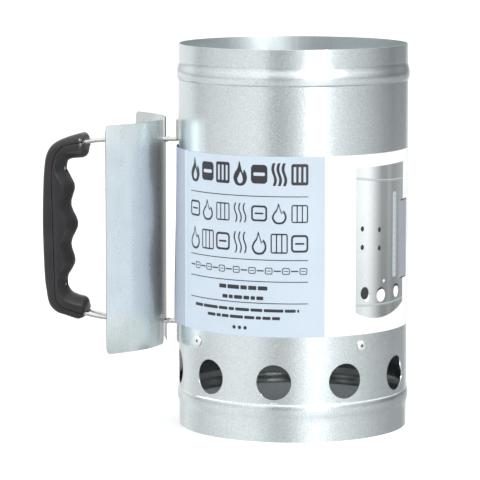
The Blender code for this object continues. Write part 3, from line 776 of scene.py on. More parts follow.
def shield_at(along, z, depth=0.0):
    """A point on the shield's middle surface, or off it by a depth towards the handle."""
    side = np.where(along < 0, -1.0, 1.0)
    arc = SHIELD_ARC_RADIUS * SHIELD_HALF_TURN
    turn = np.minimum(np.abs(along), arc) / SHIELD_ARC_RADIUS
    straight = np.maximum(np.abs(along) - arc, 0.0)
    out = SHIELD_ARC_RADIUS * (1 - np.cos(turn)) + straight * np.sin(turn) + depth * np.cos(turn)
    y = side * (SHIELD_ARC_RADIUS * np.sin(turn) + straight * np.cos(turn) - depth * np.sin(turn))
    reach = SHIELD_REACH + out * math.cos(SHIELD_TWIST) + y * math.sin(SHIELD_TWIST)
    across = y * math.cos(SHIELD_TWIST) - out * math.sin(SHIELD_TWIST)
    return np.stack((AXIS_X - reach, across, z), axis=-1)


def corner_points(along, z, radius, turn_from, turn_to, steps=7):
    """An arc about a centre in the flat sheet."""
    turns = np.radians(np.linspace(turn_from, turn_to, steps))
    return [(along + radius * math.cos(t), z + radius * math.sin(t)) for t in turns]


def shield_outline():
    half = SHIELD_ARC_RADIUS * SHIELD_HALF_TURN + SHIELD_FLANGE
    r, w, c, m = SHIELD_CORNER, SLOT_HALF_WIDTH, SLOT_CORNER, SLOT_MOUTH
    low, high = SHIELD_BOTTOM, SHIELD_TOP
    low_end = LOWER_WIRE_Z + WIRE_RADIUS + SLOT_PLAY
    top_end = UPPER_WIRE_Z - WIRE_RADIUS - SLOT_PLAY
    right_half = corner_points(w + m, low + m, m, 270, 180)[::-1]
    low_side = [(0.0, low_end)] + corner_points(w - c, low_end - c, c, 90, 0)
    low_side += right_half + corner_points(half - r, low + r, r, 270, 360)
    top_side = corner_points(half - r, high - r, r, 0, 90)
    top_side += corner_points(w + m, high - m, m, 90, 180)
    top_side += corner_points(w - c, top_end + c, c, 0, -90) + [(0.0, top_end)]
    right = low_side + top_side
    left = [(-along, z) for along, z in right[::-1][1:-1]]
    return right + left


def make_heat_shield(look):
    loop = densify(shield_outline(), 0.004)
    columns, rows = np.arange(-0.070, 0.0701, 0.002), np.arange(0.060, 0.216, 0.006)
    grid = np.array([(along, z) for along in columns for z in rows])
    grid = grid[inside_loops(grid, [loop])]
    grid = grid[clearance(grid, [loop]) > 0.0012]
    flat, triangles = plate([loop], list(map(tuple, grid)))

    def back(along, z):
        return shield_at(along, z, SHEET / 2)

    def front(along, z):
        return shield_at(along, z, -SHEET / 2)

    points, faces, normals = bent_sheet(flat, triangles, back, front, 0.00008)
    shield = make_piece("shield", points, faces, look, normals)
    settle(shield, "starter", ["heat_shield"])


# Grip ---------------------------------------------------------------------------------------

GRIP_STATIONS = (
    (151.2, 201.5, 152.8, 208.0, 150.2, 190.3), (156.0, 200.8, 157.5, 206.9, 155.0, 189.5),
    (161.5, 199.7, 163.5, 205.2, 159.5, 189.1), (167.6, 197.4, 170.5, 202.6, 163.0, 188.6),
    (172.2, 192.8, 176.5, 198.4, 165.8, 187.2), (174.6, 186.0, 180.3, 191.6, 167.0, 184.2),
    (175.5, 177.8, 181.9, 182.0, 166.9, 179.5), (175.5, 167.0, 182.8, 168.5, 164.6, 168.0),
    (174.8, 142.0, 183.4, 142.0, 164.6, 142.0), (174.3, 117.0, 182.8, 116.0, 164.6, 116.0),
    (173.9, 103.5, 182.1, 101.5, 166.6, 103.0), (173.7, 93.5, 181.0, 92.5, 167.0, 98.6),
    (172.6, 85.4, 178.9, 82.6, 166.4, 94.6), (169.0, 81.0, 173.6, 76.7, 163.5, 90.8),
    (162.5, 78.6, 166.0, 74.1, 159.1, 88.9), (156.8, 77.0, 160.5, 72.4, 155.0, 87.9),
    (152.0, 75.7, 155.2, 70.7, 150.2, 87.1),
)
FINGER_NEAR = 0.1612
FINGER_BOW = 0.0034
FINGER_BOW_LENGTH = 0.0330
FINGER_WAVE = 0.0023
FINGER_PITCH = 0.0282
FINGER_MIDDLE = 0.1408
WAVE_TOP, WAVE_BOTTOM, WAVE_FADE = 0.182, 0.102, 0.004
GRIP_HALF_WIDTH = 0.0130
PLAN_TIP = 0.0050
SEAM_TIP = 0.0025
PALM_TIP, FINGER_TIP = 0.0032, 0.0046
PALM_RISE, PALM_INSET = 0.0046, 0.0060
SLOPE_RISE = 0.0058
FINGER_SLOPE = (
    (0.06, 0.90), (0.16, 0.79), (0.30, 0.675), (0.46, 0.56), (0.62, 0.46), (0.77, 0.37), (0.89, 0.28),
    (0.97, 0.19), (1.0, 0.10),
)


def grip_lines():
    """The seam, palm and finger lines, each as (reach, z) rows, at closely spaced stations."""
    curve = open_curve(GRIP_STATIONS, 7) / 1000.0
    seam, palm, finger = curve[:, 0:2], curve[:, 2:4], curve[:, 4:6].copy()
    z = finger[:, 1]
    bow = FINGER_BOW * np.minimum(((z - FINGER_MIDDLE) / FINGER_BOW_LENGTH) ** 2, 1.0)
    wavy = FINGER_NEAR + bow - FINGER_WAVE * np.cos(2 * math.pi * (z - FINGER_MIDDLE) / FINGER_PITCH)
    blend = np.clip((WAVE_TOP - z) / WAVE_FADE, 0, 1) * np.clip((z - WAVE_BOTTOM) / WAVE_FADE, 0, 1)
    finger[:, 0] += (wavy - finger[:, 0]) * blend
    return seam, palm, finger


def flat_side(width, depth, edge=0.0004):
    """The seam's face and the flat side of a cross-section, as (depth, y), from the middle out."""
    return [(0.0, 0.0), (0.0, width * 0.5), (0.0, width - edge), (edge * 0.3, width - edge * 0.3),
            (edge, width), ((depth + edge) * 0.5, width)]


def palm_section(width, depth):
    """Half a palm section: flat sides and a rounded back."""
    rise, inset = min(PALM_RISE, depth * 0.8), min(PALM_INSET, width * 0.8)
    points = flat_side(width, depth - rise)
    for turn in np.linspace(math.radians(4.0), math.pi / 2, 11):
        points.append((depth - rise + rise * math.sin(turn), width - inset + inset * math.cos(turn)))
    return points + [(depth, (width - inset) * 0.5), (depth, 0.0)]


def finger_section(width, depth):
    """Half a finger section: flat sides up to a crease, then a slightly hollow slope."""
    rise = min(SLOPE_RISE, depth * 0.8)
    points = flat_side(width, depth - rise)
    soft = 0.0003
    crease = depth - rise
    points += [(crease - soft, width), (crease, width - soft * 0.3), (crease + soft * 0.6, width - soft)]
    points += [(crease + rise * up, width * share) for up, share in FINGER_SLOPE]
    return points + [(depth, 0.0)]


def tip_loss(distance, radius):
    """How much a rounded tip has drawn in at a distance from its end."""
    short = max(radius - distance, 0.0)
    return radius - math.sqrt(max(radius**2 - short**2, 0.0))


def grip_rings(seam, outer, section, side_tip):
    run = np.concatenate(([0.0], np.cumsum(np.linalg.norm(np.diff(seam, axis=0), axis=1))))
    rings = []
    for foot, head, distance in zip(seam, outer, np.minimum(run, run[-1] - run)):
        way = unit(head - foot)
        base = foot + way * (GAP / 2 + tip_loss(distance, SEAM_TIP))
        depth = np.linalg.norm(head - foot) - GAP / 2
        depth -= tip_loss(distance, SEAM_TIP) + tip_loss(distance, side_tip)
        half = section(GRIP_HALF_WIDTH - tip_loss(distance, PLAN_TIP), depth)
        full = half + [(d, -y) for d, y in half[::-1][1:-1]]
        along = [(base + way * d, y) for d, y in full]
        rings.append(np.array([towards_handle(place[0], y, place[1]) for place, y in along]))
    return rings


def make_grip(look):
    seam, palm, finger = grip_lines()
    points, faces = skin(grip_rings(seam, palm, palm_section, PALM_TIP))
    outer = make_piece("grip_palm_shell", points, faces, look, sharp=24.0)
    settle(outer, "starter", ["grip_outer_shell"])
    points, faces = skin(grip_rings(seam, finger, finger_section, FINGER_TIP))
    inner = make_piece("grip_finger_shell", points, faces, look, sharp=38.0)
    wide, deep = SCREW_WAY_RADIUS, SCREW_WAY_DEPTH
    way = [(0.0, -deep), (wide, -deep), (wide, 0.0012), (wide * 0.8, 0.0021), (0.0, 0.0021)]
    parts = []
    for z in SCREW_HEIGHTS:
        points, faces = turned(way, 28, screw_place(z))
        parts.append((points, faces, points))
    points, faces, _ = merged(parts)
    cutter = make_cutter("screw_way_cutter", points, faces, look)
    carve(inner, cutter)
    settle(inner, "starter", ["grip_inner_shell"])


def screw_place(z):
    """Turns +Z to point from the fingers to the palm, at a screw's head."""
    turn = Vector((-1, 0, 0)).to_track_quat("Z", "Y").to_matrix().to_4x4()
    return Matrix.Translation(Vector(towards_handle(SCREW_REACH, 0.0, z))) @ turn


def make_cutter(name, points, faces, look):
    cutter = make_piece(name, points, faces, look)
    cutter.hide_render = True
    cutter.display_type = "WIRE"
    return cutter


def carve(item, cutter):
    modifier = item.modifiers.new("carve", "BOOLEAN")
    modifier.operation = "DIFFERENCE"
    modifier.solver = "EXACT"
    modifier.use_self = True
    modifier.object = cutter


def make_screws(look):
    """Pan-head screws with a cross recess."""
    head, shank, tip = SCREW_HEAD_RADIUS, SCREW_SHANK_RADIUS, SCREW_LENGTH
    profile = [(0.0, 0.0)]
    for degrees in range(10, 91, 10):
        t = math.radians(degrees)
        profile.append((head * math.sin(t), 0.0008 * (1 - math.cos(t))))
    profile += [(head, 0.0018), (shank, 0.0018)]
    for k in range(9):
        profile += [(shank, 0.0024 + 0.0009 * k), (shank * 0.78, 0.0028 + 0.0009 * k)]
    profile += [(shank * 0.8, tip - 0.0008), (0.0, tip)]
    for name, z in zip(("upper", "lower"), SCREW_HEIGHTS):
        place = screw_place(z)
        points, faces = turned(profile, 28, place)
        screw = make_piece("screw_" + name, points, faces, look)
        arms, arm_faces = [], []
        for offset, (wide, high) in ((0, SCREW_CROSS), (8, SCREW_CROSS[::-1])):
            for depth in (-0.6, 0.75):
                shrink = 0.6 if depth > 0 else 1.0
                for a, b in ((-1, -1), (1, -1), (1, 1), (-1, 1)):
                    local = Vector((a * wide * shrink / 1000, b * high / 1000, depth / 1000))
                    arms.append(tuple(place @ local))
            box = ((0, 3, 2, 1), (4, 5, 6, 7), (0, 1, 5, 4), (1, 2, 6, 5), (2, 3, 7, 6), (3, 0, 4, 7))
            arm_faces += [tuple(v + offset for v in face) for face in box]
        carve(screw, make_cutter("cross_cutter_" + name, np.array(arms), arm_faces, look))
        settle(screw, "starter", ["grip_screw_" + name])


# Wires --------------------------------------------------------------------------------------

def rounded_path(corners, bend, steps=8):
    path = [np.array(corners[0])]
    for before, corner, after in zip(corners, corners[1:], corners[2:]):
        back, ahead = unit(before - corner), unit(after - corner)
        half = math.acos(float(np.clip(back @ ahead, -1, 1))) / 2
        centre = corner + unit(back + ahead) * bend / math.sin(half)
        first = corner + back * bend / math.tan(half) - centre
        last = corner + ahead * bend / math.tan(half) - centre
        swing = math.acos(float(np.clip(unit(first) @ unit(last), -1, 1)))
        for k in range(steps + 1):
            t = swing * k / steps
            path.append(centre + (first * math.sin(swing - t) + last * math.sin(t)) / math.sin(swing))
    path.append(np.array(corners[-1]))
    return path


def spread_between(start, end, beyond):
    """A smooth S-curve from a wire's straight run to the grip's end."""
    length = np.linalg.norm(end - start)
    leave, arrive = np.array((-length, 0, 0)), unit(beyond - end) * length
    points = []
    for t in np.linspace(0.1, 0.9, 9):
        a, b = 2 * t**3 - 3 * t**2 + 1, t**3 - 2 * t**2 + t
        c, d = -2 * t**3 + 3 * t**2, t**3 - t**2
        points.append(a * start + b * leave + c * end + d * arrive)
    return points


def swaged(path):
    """Adds the pinched lumps on both sides of the shield to a half wire."""
    lumps = [(-offset, lump) for offset, lump in SWAGE_SHAPE[::-1]] + list(SWAGE_SHAPE)
    points, radii = [], []
    for k, point in enumerate(path):
        points.append(point)
        radii.append(WIRE_RADIUS)
        if k + 1 == len(path):
            continue
        after = path[k + 1]
        start, end = AXIS_X - point[0], AXIS_X - after[0]
        for offset, lump in lumps:
            reach = SHIELD_REACH + offset
            if start < reach < end:
                points.append(point + (after - point) * (reach - start) / (end - start))
                radii.append(WIRE_RADIUS + (SWAGE_RADIUS - WIRE_RADIUS) * lump)
    return points, radii


def tube_along(path, radii, sides=16):
    rings = []
    for k, point in enumerate(path):
        ahead = unit(path[min(k + 1, len(path) - 1)] - path[max(k - 1, 0)])
        up = unit(np.cross(ahead, (0.0, 1.0, 0.0)))
        across = unit(np.cross(up, ahead))
        turns = 2 * math.pi * np.arange(sides) / sides
        rings.append(point + radii[k] * (np.outer(np.cos(turns), across) + np.outer(np.sin(turns), up)))
    return skin(rings)


def make_wires(look):
    outside = TUBE_RADIUS + GAP + WIRE_RADIUS
    inside = TUBE_RADIUS - SHEET - GAP - WIRE_RADIUS
    seam = grip_lines()[0][2:-2]
    for name, side in (("front", -1), ("rear", 1)):
        near, wide = side * NEAR_SPACING, side * GRIP_SPACING
        halves = []
        for run_z, way in ((UPPER_WIRE_Z, 1), (LOWER_WIRE_Z, -1)):
            foot = run_z + way * FOOT_LENGTH
            bends = ((inside, foot + way * FOOT_TAIL), (inside, foot), (outside, foot), (outside, run_z))
            corners = [towards_handle(reach, near, z) for reach, z in (*bends, (SHIELD_REACH + 0.012, run_z))]
            halves.append(rounded_path(corners, WIRE_BEND))
        line = [towards_handle(reach, wide, z) for reach, z in seam]
        upper, upper_radii = swaged(halves[0])
        lower, lower_radii = swaged(halves[1])
        top = spread_between(upper[-1], line[0], line[1])
        low = spread_between(lower[-1], line[-1], line[-2])
        path = upper + top + line + low[::-1] + lower[::-1]
        radii = upper_radii + [WIRE_RADIUS] * (len(top) + len(line) + len(low)) + lower_radii[::-1]
        wire = make_piece("wire_" + name, *tube_along(path, radii), look, sharp=50.0)
        settle(wire, "starter", ["handle_wire_" + name])


# Card sleeve and its print ------------------------------------------------------------------

def sleeve_inner(degrees, z):
    """The sleeve's inner radius: snug, and bulging in two flat-sided folds at the handle."""
    away = np.abs((degrees - HANDLE_ANGLE + 180.0) % 360.0 - 180.0)
    lift = np.clip((CREASE_NEAR - away) / (CREASE_NEAR - CREASE_FAR), 0.0, 1.0)
    drop = np.clip((SLEEVE_TOP - z) / (SLEEVE_TOP - SLEEVE_BOTTOM), 0.0, 1.0)
    bulge = SLEEVE_TOP_BULGE + (1.0 - SLEEVE_TOP_BULGE) * drop * drop * (3.0 - 2.0 * drop)
    return TUBE_RADIUS + GAP + SLEEVE_STAND_OFF * lift * bulge


def sleeve_point(degrees, z, height):
    """A point a height above the card's outer face."""
    return polar(sleeve_inner(degrees, z) + SLEEVE_THICKNESS + height, degrees, z)


def make_card_sleeve(look):
    """A closed ring of card, with more columns at its folds."""
    fold_degrees = []
    for fold in (CREASE_NEAR, CREASE_FAR, -CREASE_NEAR, -CREASE_FAR):
        fold_degrees += [HANDLE_ANGLE + fold + off for off in FOLD_STEPS]
    degrees = sorted({round(d, 4) for d in list(np.arange(-180.0, 180.0, 2.0)) + fold_degrees})
    angles = np.array(degrees)
    edge = SLEEVE_EDGE
    low, high = SLEEVE_BOTTOM, SLEEVE_TOP
    levels = [low + edge, *np.linspace(low, high, SLEEVE_ROWS)[1:-1], high - edge]
    ladder = [(SLEEVE_THICKNESS, z) for z in levels] + [(SLEEVE_THICKNESS - edge, high), (edge, high)]
    ladder += [(0.0, z) for z in levels[::-1]] + [(edge, low), (SLEEVE_THICKNESS - edge, low)]
    count = len(ladder)
    grid = np.stack([polar(sleeve_inner(angles, z) + depth, angles, z) for depth, z in ladder], axis=1)
    points = grid.reshape(-1, 3)
    faces = []
    for k in range(len(angles)):
        after = (k + 1) % len(angles)
        for i in range(count):
            j = (i + 1) % count
            faces.append((k * count + i, after * count + i, after * count + j, k * count + j))
    sleeve = make_piece("sleeve", points, faces, look, sharp=30.0)
    settle(sleeve, "starter", ["card_sleeve"])


def print_radius():
    return TUBE_RADIUS + GAP + SLEEVE_THICKNESS


def decal(loops, thickness=0.00006, spacing=0.0022):
    """One printed shape as a very thin closed solid that follows the card."""
    loops = [densify(loop, spacing) for loop in loops]
    outline = np.array(loops[0])
    low, high = outline.min(axis=0), outline.max(axis=0)
    xs = np.arange(low[0] + spacing / 2, high[0], spacing)
    zs = np.arange(low[1] + spacing, high[1], spacing * 2)
    grid = np.array([(x, z) for x in xs for z in zs]).reshape(-1, 2)
    grid = grid[inside_loops(grid, loops)]
    grid = grid[clearance(grid, loops) > spacing * 0.3]
    flat, triangles = plate(loops, list(map(tuple, grid)))

    def face(s, z):
        return sleeve_point(np.degrees(s / print_radius()), z, thickness)

    def back(s, z):
        return sleeve_point(np.degrees(s / print_radius()), z, -0.00004)

    return bent_sheet(flat, triangles, face, back, 0.00001)


def arc_of(degrees):
    return math.radians(degrees) * print_radius()


def box_loop(left, right, low, high, corner=0.0):
    if corner <= 0:
        return [(left, low), (right, low), (right, high), (left, high)]
    loop = []
    for s, z, first in ((right - corner, low + corner, 270), (right - corner, high - corner, 0),
                        (left + corner, high - corner, 90), (left + corner, low + corner, 180)):
        loop += corner_points(s, z, corner, first, first + 90, 5)
    return loop


def placed(shape, s, z, size, lean=0.0):
    """Moves a unit shape to a place on the card."""
    turn = math.radians(lean)
    moved = []
    for x, y in shape:
        moved.append((s + size * (x * math.cos(turn) - y * math.sin(turn)),
                      z + size * (x * math.sin(turn) + y * math.cos(turn))))
    return moved


FLAME = (
    (0.0, -0.5), (0.24, -0.44), (0.38, -0.22), (0.34, 0.02), (0.22, 0.16), (0.16, 0.02),
    (0.06, 0.24), (-0.04, 0.5), (-0.14, 0.22), (-0.30, 0.02), (-0.38, -0.20), (-0.24, -0.44),
)
TONGUE = (
    (0.0, -0.40), (0.13, -0.33), (0.15, -0.18), (0.03, 0.06), (-0.06, -0.06), (-0.15, -0.20), (-0.12, -0.34),
)


def inner_copy(shape, share, drop=0.0):
    return [(x * share, y * share - drop) for x, y in shape]


def flame_icon(s, z, size, bold):
    outline = closed_curve(FLAME)
    hole = closed_curve(TONGUE) if bold else inner_copy(outline, 0.76, 0.03)
    return [[placed(outline, s, z, size), placed(hole, s, z, size)]]


def coal_icon(s, z, size, bold):
    """A pillow-shaped briquette with a groove."""
    w, h, c = 0.43 * size, 0.38 * size, 0.17 * size
    line = 0.07 * size
    outline = box_loop(s - w, s + w, z - h, z + h, c)
    if bold:
        groove = box_loop(s - w * 0.72, s + w * 0.72, z - line, z + line, line * 0.9)
        return [[outline, groove]]
    rim = line * 1.3
    inside = box_loop(s - w + rim, s + w - rim, z - h + rim, z + h - rim, c - line)
    groove = box_loop(s - w * 0.55, s + w * 0.55, z - line * 0.55, z + line * 0.55, line * 0.5)
    return [[outline, inside], [groove]]


def heat_icon(s, z, size, bold):
    """Three rising waves."""
    shapes = []
    half = size * (0.070 if bold else 0.036)
    for shift in (-0.26, 0.0, 0.26):
        left, right = [], []
        for k in range(25):
            t = k / 24
            x = s + size * (shift + 0.07 * math.sin(2 * math.pi * t))
            y = z + size * (t - 0.5) * 0.92
            left.append((x - half, y))
            right.append((x + half, y))
        shapes.append([left + right[::-1]])
    return shapes


def grill_icon(s, z, size, bold):
    """A grill rack: a frame with bars."""
    w, h, line = 0.43 * size, 0.43 * size, size * (0.12 if bold else 0.062)
    outline = box_loop(s - w, s + w, z - h, z + h, 0.10 * size)
    bars = 3
    holes = []
    step = (2 * w - line) / bars
    for k in range(bars):
        left = s - w + line + k * step
        holes.append(box_loop(left, left + step - line, z - h + line, z + h - line, 0.02 * size))
    return [[outline, *holes]]


def dash_icon(s, z, size, bold):
    return [[box_loop(s - 0.42 * size, s + 0.42 * size, z - 0.07 * size, z + 0.07 * size, 0.06 * size)]]


def icon_row(kinds, left, right, z, size, bold, share):
    """Evenly spaced icons, narrowed to a share of their width."""
    shapes = []
    for k, kind in enumerate(kinds):
        s = arc_of(left + (right - left) * (k + 0.5) / len(kinds))
        for loops in kind(s, z, size, bold):
            shapes.append([[(s + (x - s) * share, y) for x, y in loop] for loop in loops])
    return shapes


def bar(left, right, low, high, corner=0.0):
    return [box_loop(arc_of(left), arc_of(right), low, high, corner)]


def disc(degrees, z, radius, sides=28, squeeze=1.0):
    return [circle(arc_of(degrees), z, radius, sides, squeeze)]


def broken_bar(left, right, low, high, widths):
    """A row of short blocks with small gaps, as a line of fine print looks from afar."""
    shapes, place = [], left
    corner = min((high - low) / 2.2, 0.0005)
    while place < right - 0.5:
        width = min(widths[len(shapes) % len(widths)], right - place)
        shapes.append(bar(place, place + width, low, high, corner))
        place += width + BLOCK_GAP
    return shapes


RULE_SPAN = (-50.5, 16.6)
RULE_HEIGHTS = (0.1731, 0.1287, 0.1135, 0.0983)
RULE_HALF_WIDTH = 0.00028
BLOCK_GAP = 0.75
DOT_ANGLES = (-20.3, -17.3, -14.3)
DOT_Z, DOT_RADIUS = 0.0804, 0.0013
# Icons, left and right angle, height, size, boldness and share of the width.
ICON_ROWS = (
    ((flame_icon, coal_icon, grill_icon, flame_icon, coal_icon, heat_icon, grill_icon),
     -51.5, 17.5, 0.1885, 0.0172, True, 0.80),
    ((coal_icon, flame_icon, grill_icon, heat_icon, coal_icon, flame_icon, grill_icon),
     -51.5, 17.5, 0.1612, 0.0146, False, 0.92),
    ((flame_icon, grill_icon, coal_icon, heat_icon, flame_icon, grill_icon, coal_icon),
     -51.5, 17.5, 0.1404, 0.0162, False, 0.86),
    ((dash_icon, coal_icon) * 8, -50.5, 16.5, 0.1211, 0.0062, False, 1.0),
)
# Left and right angle, bottom, top and the lengths of the blocks in degrees.
BROKEN_BARS = (
    (-29.0, -3.0, 0.1074, 0.1102, (4.2, 6.5, 3.4)),
    (-27.0, -5.0, 0.1005, 0.1030, (3.0, 2.2, 4.4)),
    (-46.3, 12.4, 0.0922, 0.0943, (6.0, 9.5, 5.2, 3.0, 7.4)),
    (-36.7, 3.2, 0.0868, 0.0889, (5.2, 2.6, 4.0, 7.2)),
)


def make_print(ink):
    dark = [bar(*RULE_SPAN, z - RULE_HALF_WIDTH, z + RULE_HALF_WIDTH) for z in RULE_HEIGHTS]
    for row in ICON_ROWS:
        dark += icon_row(*row)
    for row in BROKEN_BARS:
        dark += broken_bar(*row)
    dark += [disc(degrees, DOT_Z, DOT_RADIUS, 20) for degrees in DOT_ANGLES]
    make_decals("sleeve_print", dark, ink, 0.00008)


def crescent(s, z, radius, first, last, bite):
    """The part of a disc's rim between two angles that is left after a bite from inside."""
    turns = np.radians(np.linspace(first, last, 15))
    outside = [(s + radius * math.cos(t), z + radius * math.sin(t)) for t in turns]
    inside = []
    for t, share in zip(turns[::-1][1:-1], np.linspace(0.0, math.pi, 15)[1:-1]):
        near = radius * (1.0 - bite * math.sin(share))
        inside.append((s + near * math.cos(t), z + near * math.sin(t)))
    return outside + inside


def band_line(left, right, z, width, sag, fall=0.0):
    """A thin curved line that may run lower at its right-hand end."""
    steps = np.linspace(0.0, 1.0, 21)
    low = [(left + (right - left) * t, z - sag * math.sin(math.pi * t) - fall * t) for t in steps]
    return low + [(x, y + width) for x, y in low[::-1]]


def make_picture(ink, metal_ink, pale_ink, shade_ink, white_ink):
    """The small picture of the starter on the white panel, in flat inks."""
    left, right = (arc_of(degrees) for degrees in PICTURE_SPAN)
    wide = right - left
    steps = np.linspace(0.0, 1.0, 25)
    lower = [(left + wide * t, 0.0905 - 0.0058 * math.sin(math.pi * t**0.8) + 0.002 * t**3) for t in steps]
    upper = [(left + wide * t, 0.1917 + 0.0010 * t) for t in steps[::-1]]

    def bead_lines(upper_z, lower_z, width):
        high = band_line(left, right, upper_z, width, 0.0012, 0.0040)
        return [[high], [band_line(left, right, lower_z, width, 0.0014)]]

    make_decals("picture_tube", [[lower + upper]], metal_ink, 0.00004)
    pale = [bar(67.2, 70.2, 0.1120, 0.1725, 0.0012), *bead_lines(0.1848, 0.0955, 0.0007)]
    make_decals("picture_shield", pale, pale_ink, 0.00006)
    shade = [bar(73.8, 85.5, 0.1105, 0.1650, 0.0012), *bead_lines(0.1840, 0.0948, 0.0004)]
    shade.append(bar(70.4, 71.2, 0.1120, 0.1720, 0.0002))
    make_decals("picture_handle", shade, shade_ink, 0.00005)
    white = [disc(57.6, 0.1006, 0.0046, 28, 0.98), disc(70.8, 0.1015, 0.0044, 28, 0.80)]
    white += [disc(47.9, 0.1002, 0.0030, 20, 0.8), disc(59.8, 0.1104, 0.0012, 16)]
    make_decals("picture_openings", white, white_ink, 0.00007)
    dark = [disc(46.6, 0.1035, 0.0044, 28, 0.80)]
    dark.append([crescent(arc_of(57.6), 0.1013, 0.0050, 40, 165, 0.30)])
    dark.append([crescent(arc_of(70.8), 0.1022, 0.0047, 15, 165, 0.40)])
    for degrees, drop in ((45.0, 0.0), (56.2, 0.0018)):
        dark += [disc(degrees, z - drop, 0.0019, 16, 0.75) for z in (0.1360, 0.1490)]
    dark.append(disc(59.9, 0.1100, 0.0005, 12))
    dark += [[band_line(arc_of(76.0), arc_of(85.0), z, 0.0008, 0.0)] for z in (0.1650, 0.1095)]
    make_decals("picture_dark", dark, ink, 0.00009)


def make_decals(name, shapes, look, thickness):
    points, faces, normals = merged([decal(loops, thickness) for loops in shapes])
    item = make_piece(name, points, faces, look, normals)
    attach(item, "starter")


# Stage --------------------------------------------------------------------------------------

FLOOR_SPLIT = 0.080
FLOOR_RADIUS = 20.0
FLOOR_CENTRE = 0.001
FLOOR_SIDES = 96


def make_floor():
    look = Look("pale_floor", Roughness=0.9)
    cloud = look.noise(3.0, 2.0)
    look.paint(look.grey(look.spread(cloud, 0.90, 0.92)))
    for number, (inner, outer) in enumerate(((0.0, FLOOR_SPLIT), (FLOOR_SPLIT, FLOOR_RADIUS))):
        points, faces = [], []
        count = FLOOR_SIDES
        for radius in (max(inner, FLOOR_CENTRE), outer):
            for k in range(count):
                turn = 2 * math.pi * k / count
                points.append((AXIS_X + radius * math.sin(turn), -radius * math.cos(turn), 0.0))
        for k in range(count):
            after = (k + 1) % count
            faces.append((k, after, after + count, k + count))
        if inner == 0.0:
            faces.append(tuple(range(count)))
        floor = make_piece(f"floor_{number}", np.array(points), faces, look.material)
        floor.visible_glossy = number == 0


# Plan angle from the camera's own and brightness, above the horizon and below it.
UPPER_PANELS = (
    (-180, 0.95), (-138, 0.85), (-124, 0.85), (-115, 0.65), (-108, 0.50), (-98, 0.62), (-70, 0.76),
    (-50, 0.90), (-34, 1.00), (-26, 0.95), (-23, 0.42), (-12, 0.42), (-3, 0.52), (6, 0.85), (14, 1.10),
    (17, 3.00), (24, 3.00), (30, 1.90), (36, 1.15), (44, 0.92), (58, 0.68), (80, 0.48), (98, 0.26),
    (118, 0.14), (130, 0.24), (150, 0.22), (165, 0.70), (180, 0.95),
)
LOWER_PANELS = (
    (-180, 0.85), (-152, 0.66), (-138, 0.85), (-124, 0.74), (-108, 0.60), (-89, 0.72), (-59, 0.86),
    (-38, 0.84), (-27, 0.66), (-15, 0.52), (-3, 0.60), (8, 0.92), (16, 1.12), (32, 1.12), (40, 0.92),
    (50, 0.80), (66, 0.68), (81, 0.54), (98, 0.42), (118, 0.32), (150, 0.34), (165, 0.70), (180, 0.95),
)
HORIZON_HEIGHT, HORIZON_WIDTH, HORIZON_DIP = 0.02, 0.045, 0.42
PANEL_CHANGE, DOME_CHANGE, GROUND_CHANGE = (-0.08, -0.115), (0.22, 0.60), (-0.55, -0.95)
DOME_LIGHT, DOME_MIRRORED, GROUND = 1.45, 1.25, 0.45


def even(level):
    return (level, level, level, 1)


def make_world():
    """Soft studio surroundings: pale and darker upright panels all round, and white overhead."""
    world = bpy.data.worlds.new("studio")
    bpy.context.scene.world = world
    world.use_nodes = True
    world.node_tree.nodes.clear()
    nodes = Nodes(world.node_tree)
    way = nodes.apart(nodes.add("ShaderNodeTexCoord").outputs["Generated"])
    rays = nodes.add("ShaderNodeLightPath").outputs
    turn = nodes.maths("DIVIDE", nodes.plan_angle(way["X"], way["Y"]), 2 * math.pi)
    share = nodes.maths("FRACT", nodes.plus(turn, 1.5 - CAMERA_ANGLE / 360.0))

    def panels(levels):
        return nodes.ramp(share, [((degrees + 180) / 360, even(level)) for degrees, level in levels])

    def change(span, first, second):
        """Mixes two colours by the direction's height."""
        return nodes.mix(nodes.spread(way["Z"], 0.0, 1.0, *span), first, second)

    around = change(PANEL_CHANGE, panels(UPPER_PANELS), panels(LOWER_PANELS))
    off = nodes.maths("DIVIDE", nodes.minus(way["Z"], HORIZON_HEIGHT), HORIZON_WIDTH)
    bell = nodes.maths("EXPONENT", nodes.times(nodes.times(off, off), -1.0))
    dimmed = nodes.mix(nodes.times(bell, HORIZON_DIP), around, even(0.0))
    dome = nodes.mix(rays["Is Glossy Ray"], even(DOME_LIGHT), even(DOME_MIRRORED))
    low = change(GROUND_CHANGE, change(DOME_CHANGE, dimmed, dome), even(GROUND))
    background = nodes.add("ShaderNodeBackground", Color=nodes.mix(rays["Is Camera Ray"], low, even(1.0)))
    nodes.add("ShaderNodeOutputWorld", Surface=background.outputs[0])


# Name, plan angle, height, distance, size and power.
LIGHTS = (
    ("key", -38.0, 0.75, 1.5, 0.9, 5.4),
    ("fill", 62.0, 0.55, 1.6, 1.0, 2.4),
    ("top", 160.0, 1.5, 0.5, 0.9, 4.0),
    ("inner", 41.0, 1.05, 1.6, 0.35, 46.0),
)


def make_lights():
    """Large soft lights that metal does not mirror, and one that shows only in shine, meant for the tube's
    inner wall.
    """
    centre = Vector((AXIS_X / 2, 0.0, TUBE_HEIGHT / 2))
    for name, degrees, height, distance, size, power in LIGHTS:
        data = bpy.data.lights.new(name, "AREA")
        data.shape = "DISK"
        data.size = size
        data.energy = power
        light = bpy.data.objects.new(name, data)
        light.location = Vector(polar(distance, degrees, height))
        light.rotation_euler = (centre - light.location).to_track_quat("-Z", "Y").to_euler()
        light.visible_glossy = name == "inner"
        light.visible_diffuse = name != "inner"
        bpy.context.scene.collection.objects.link(light)


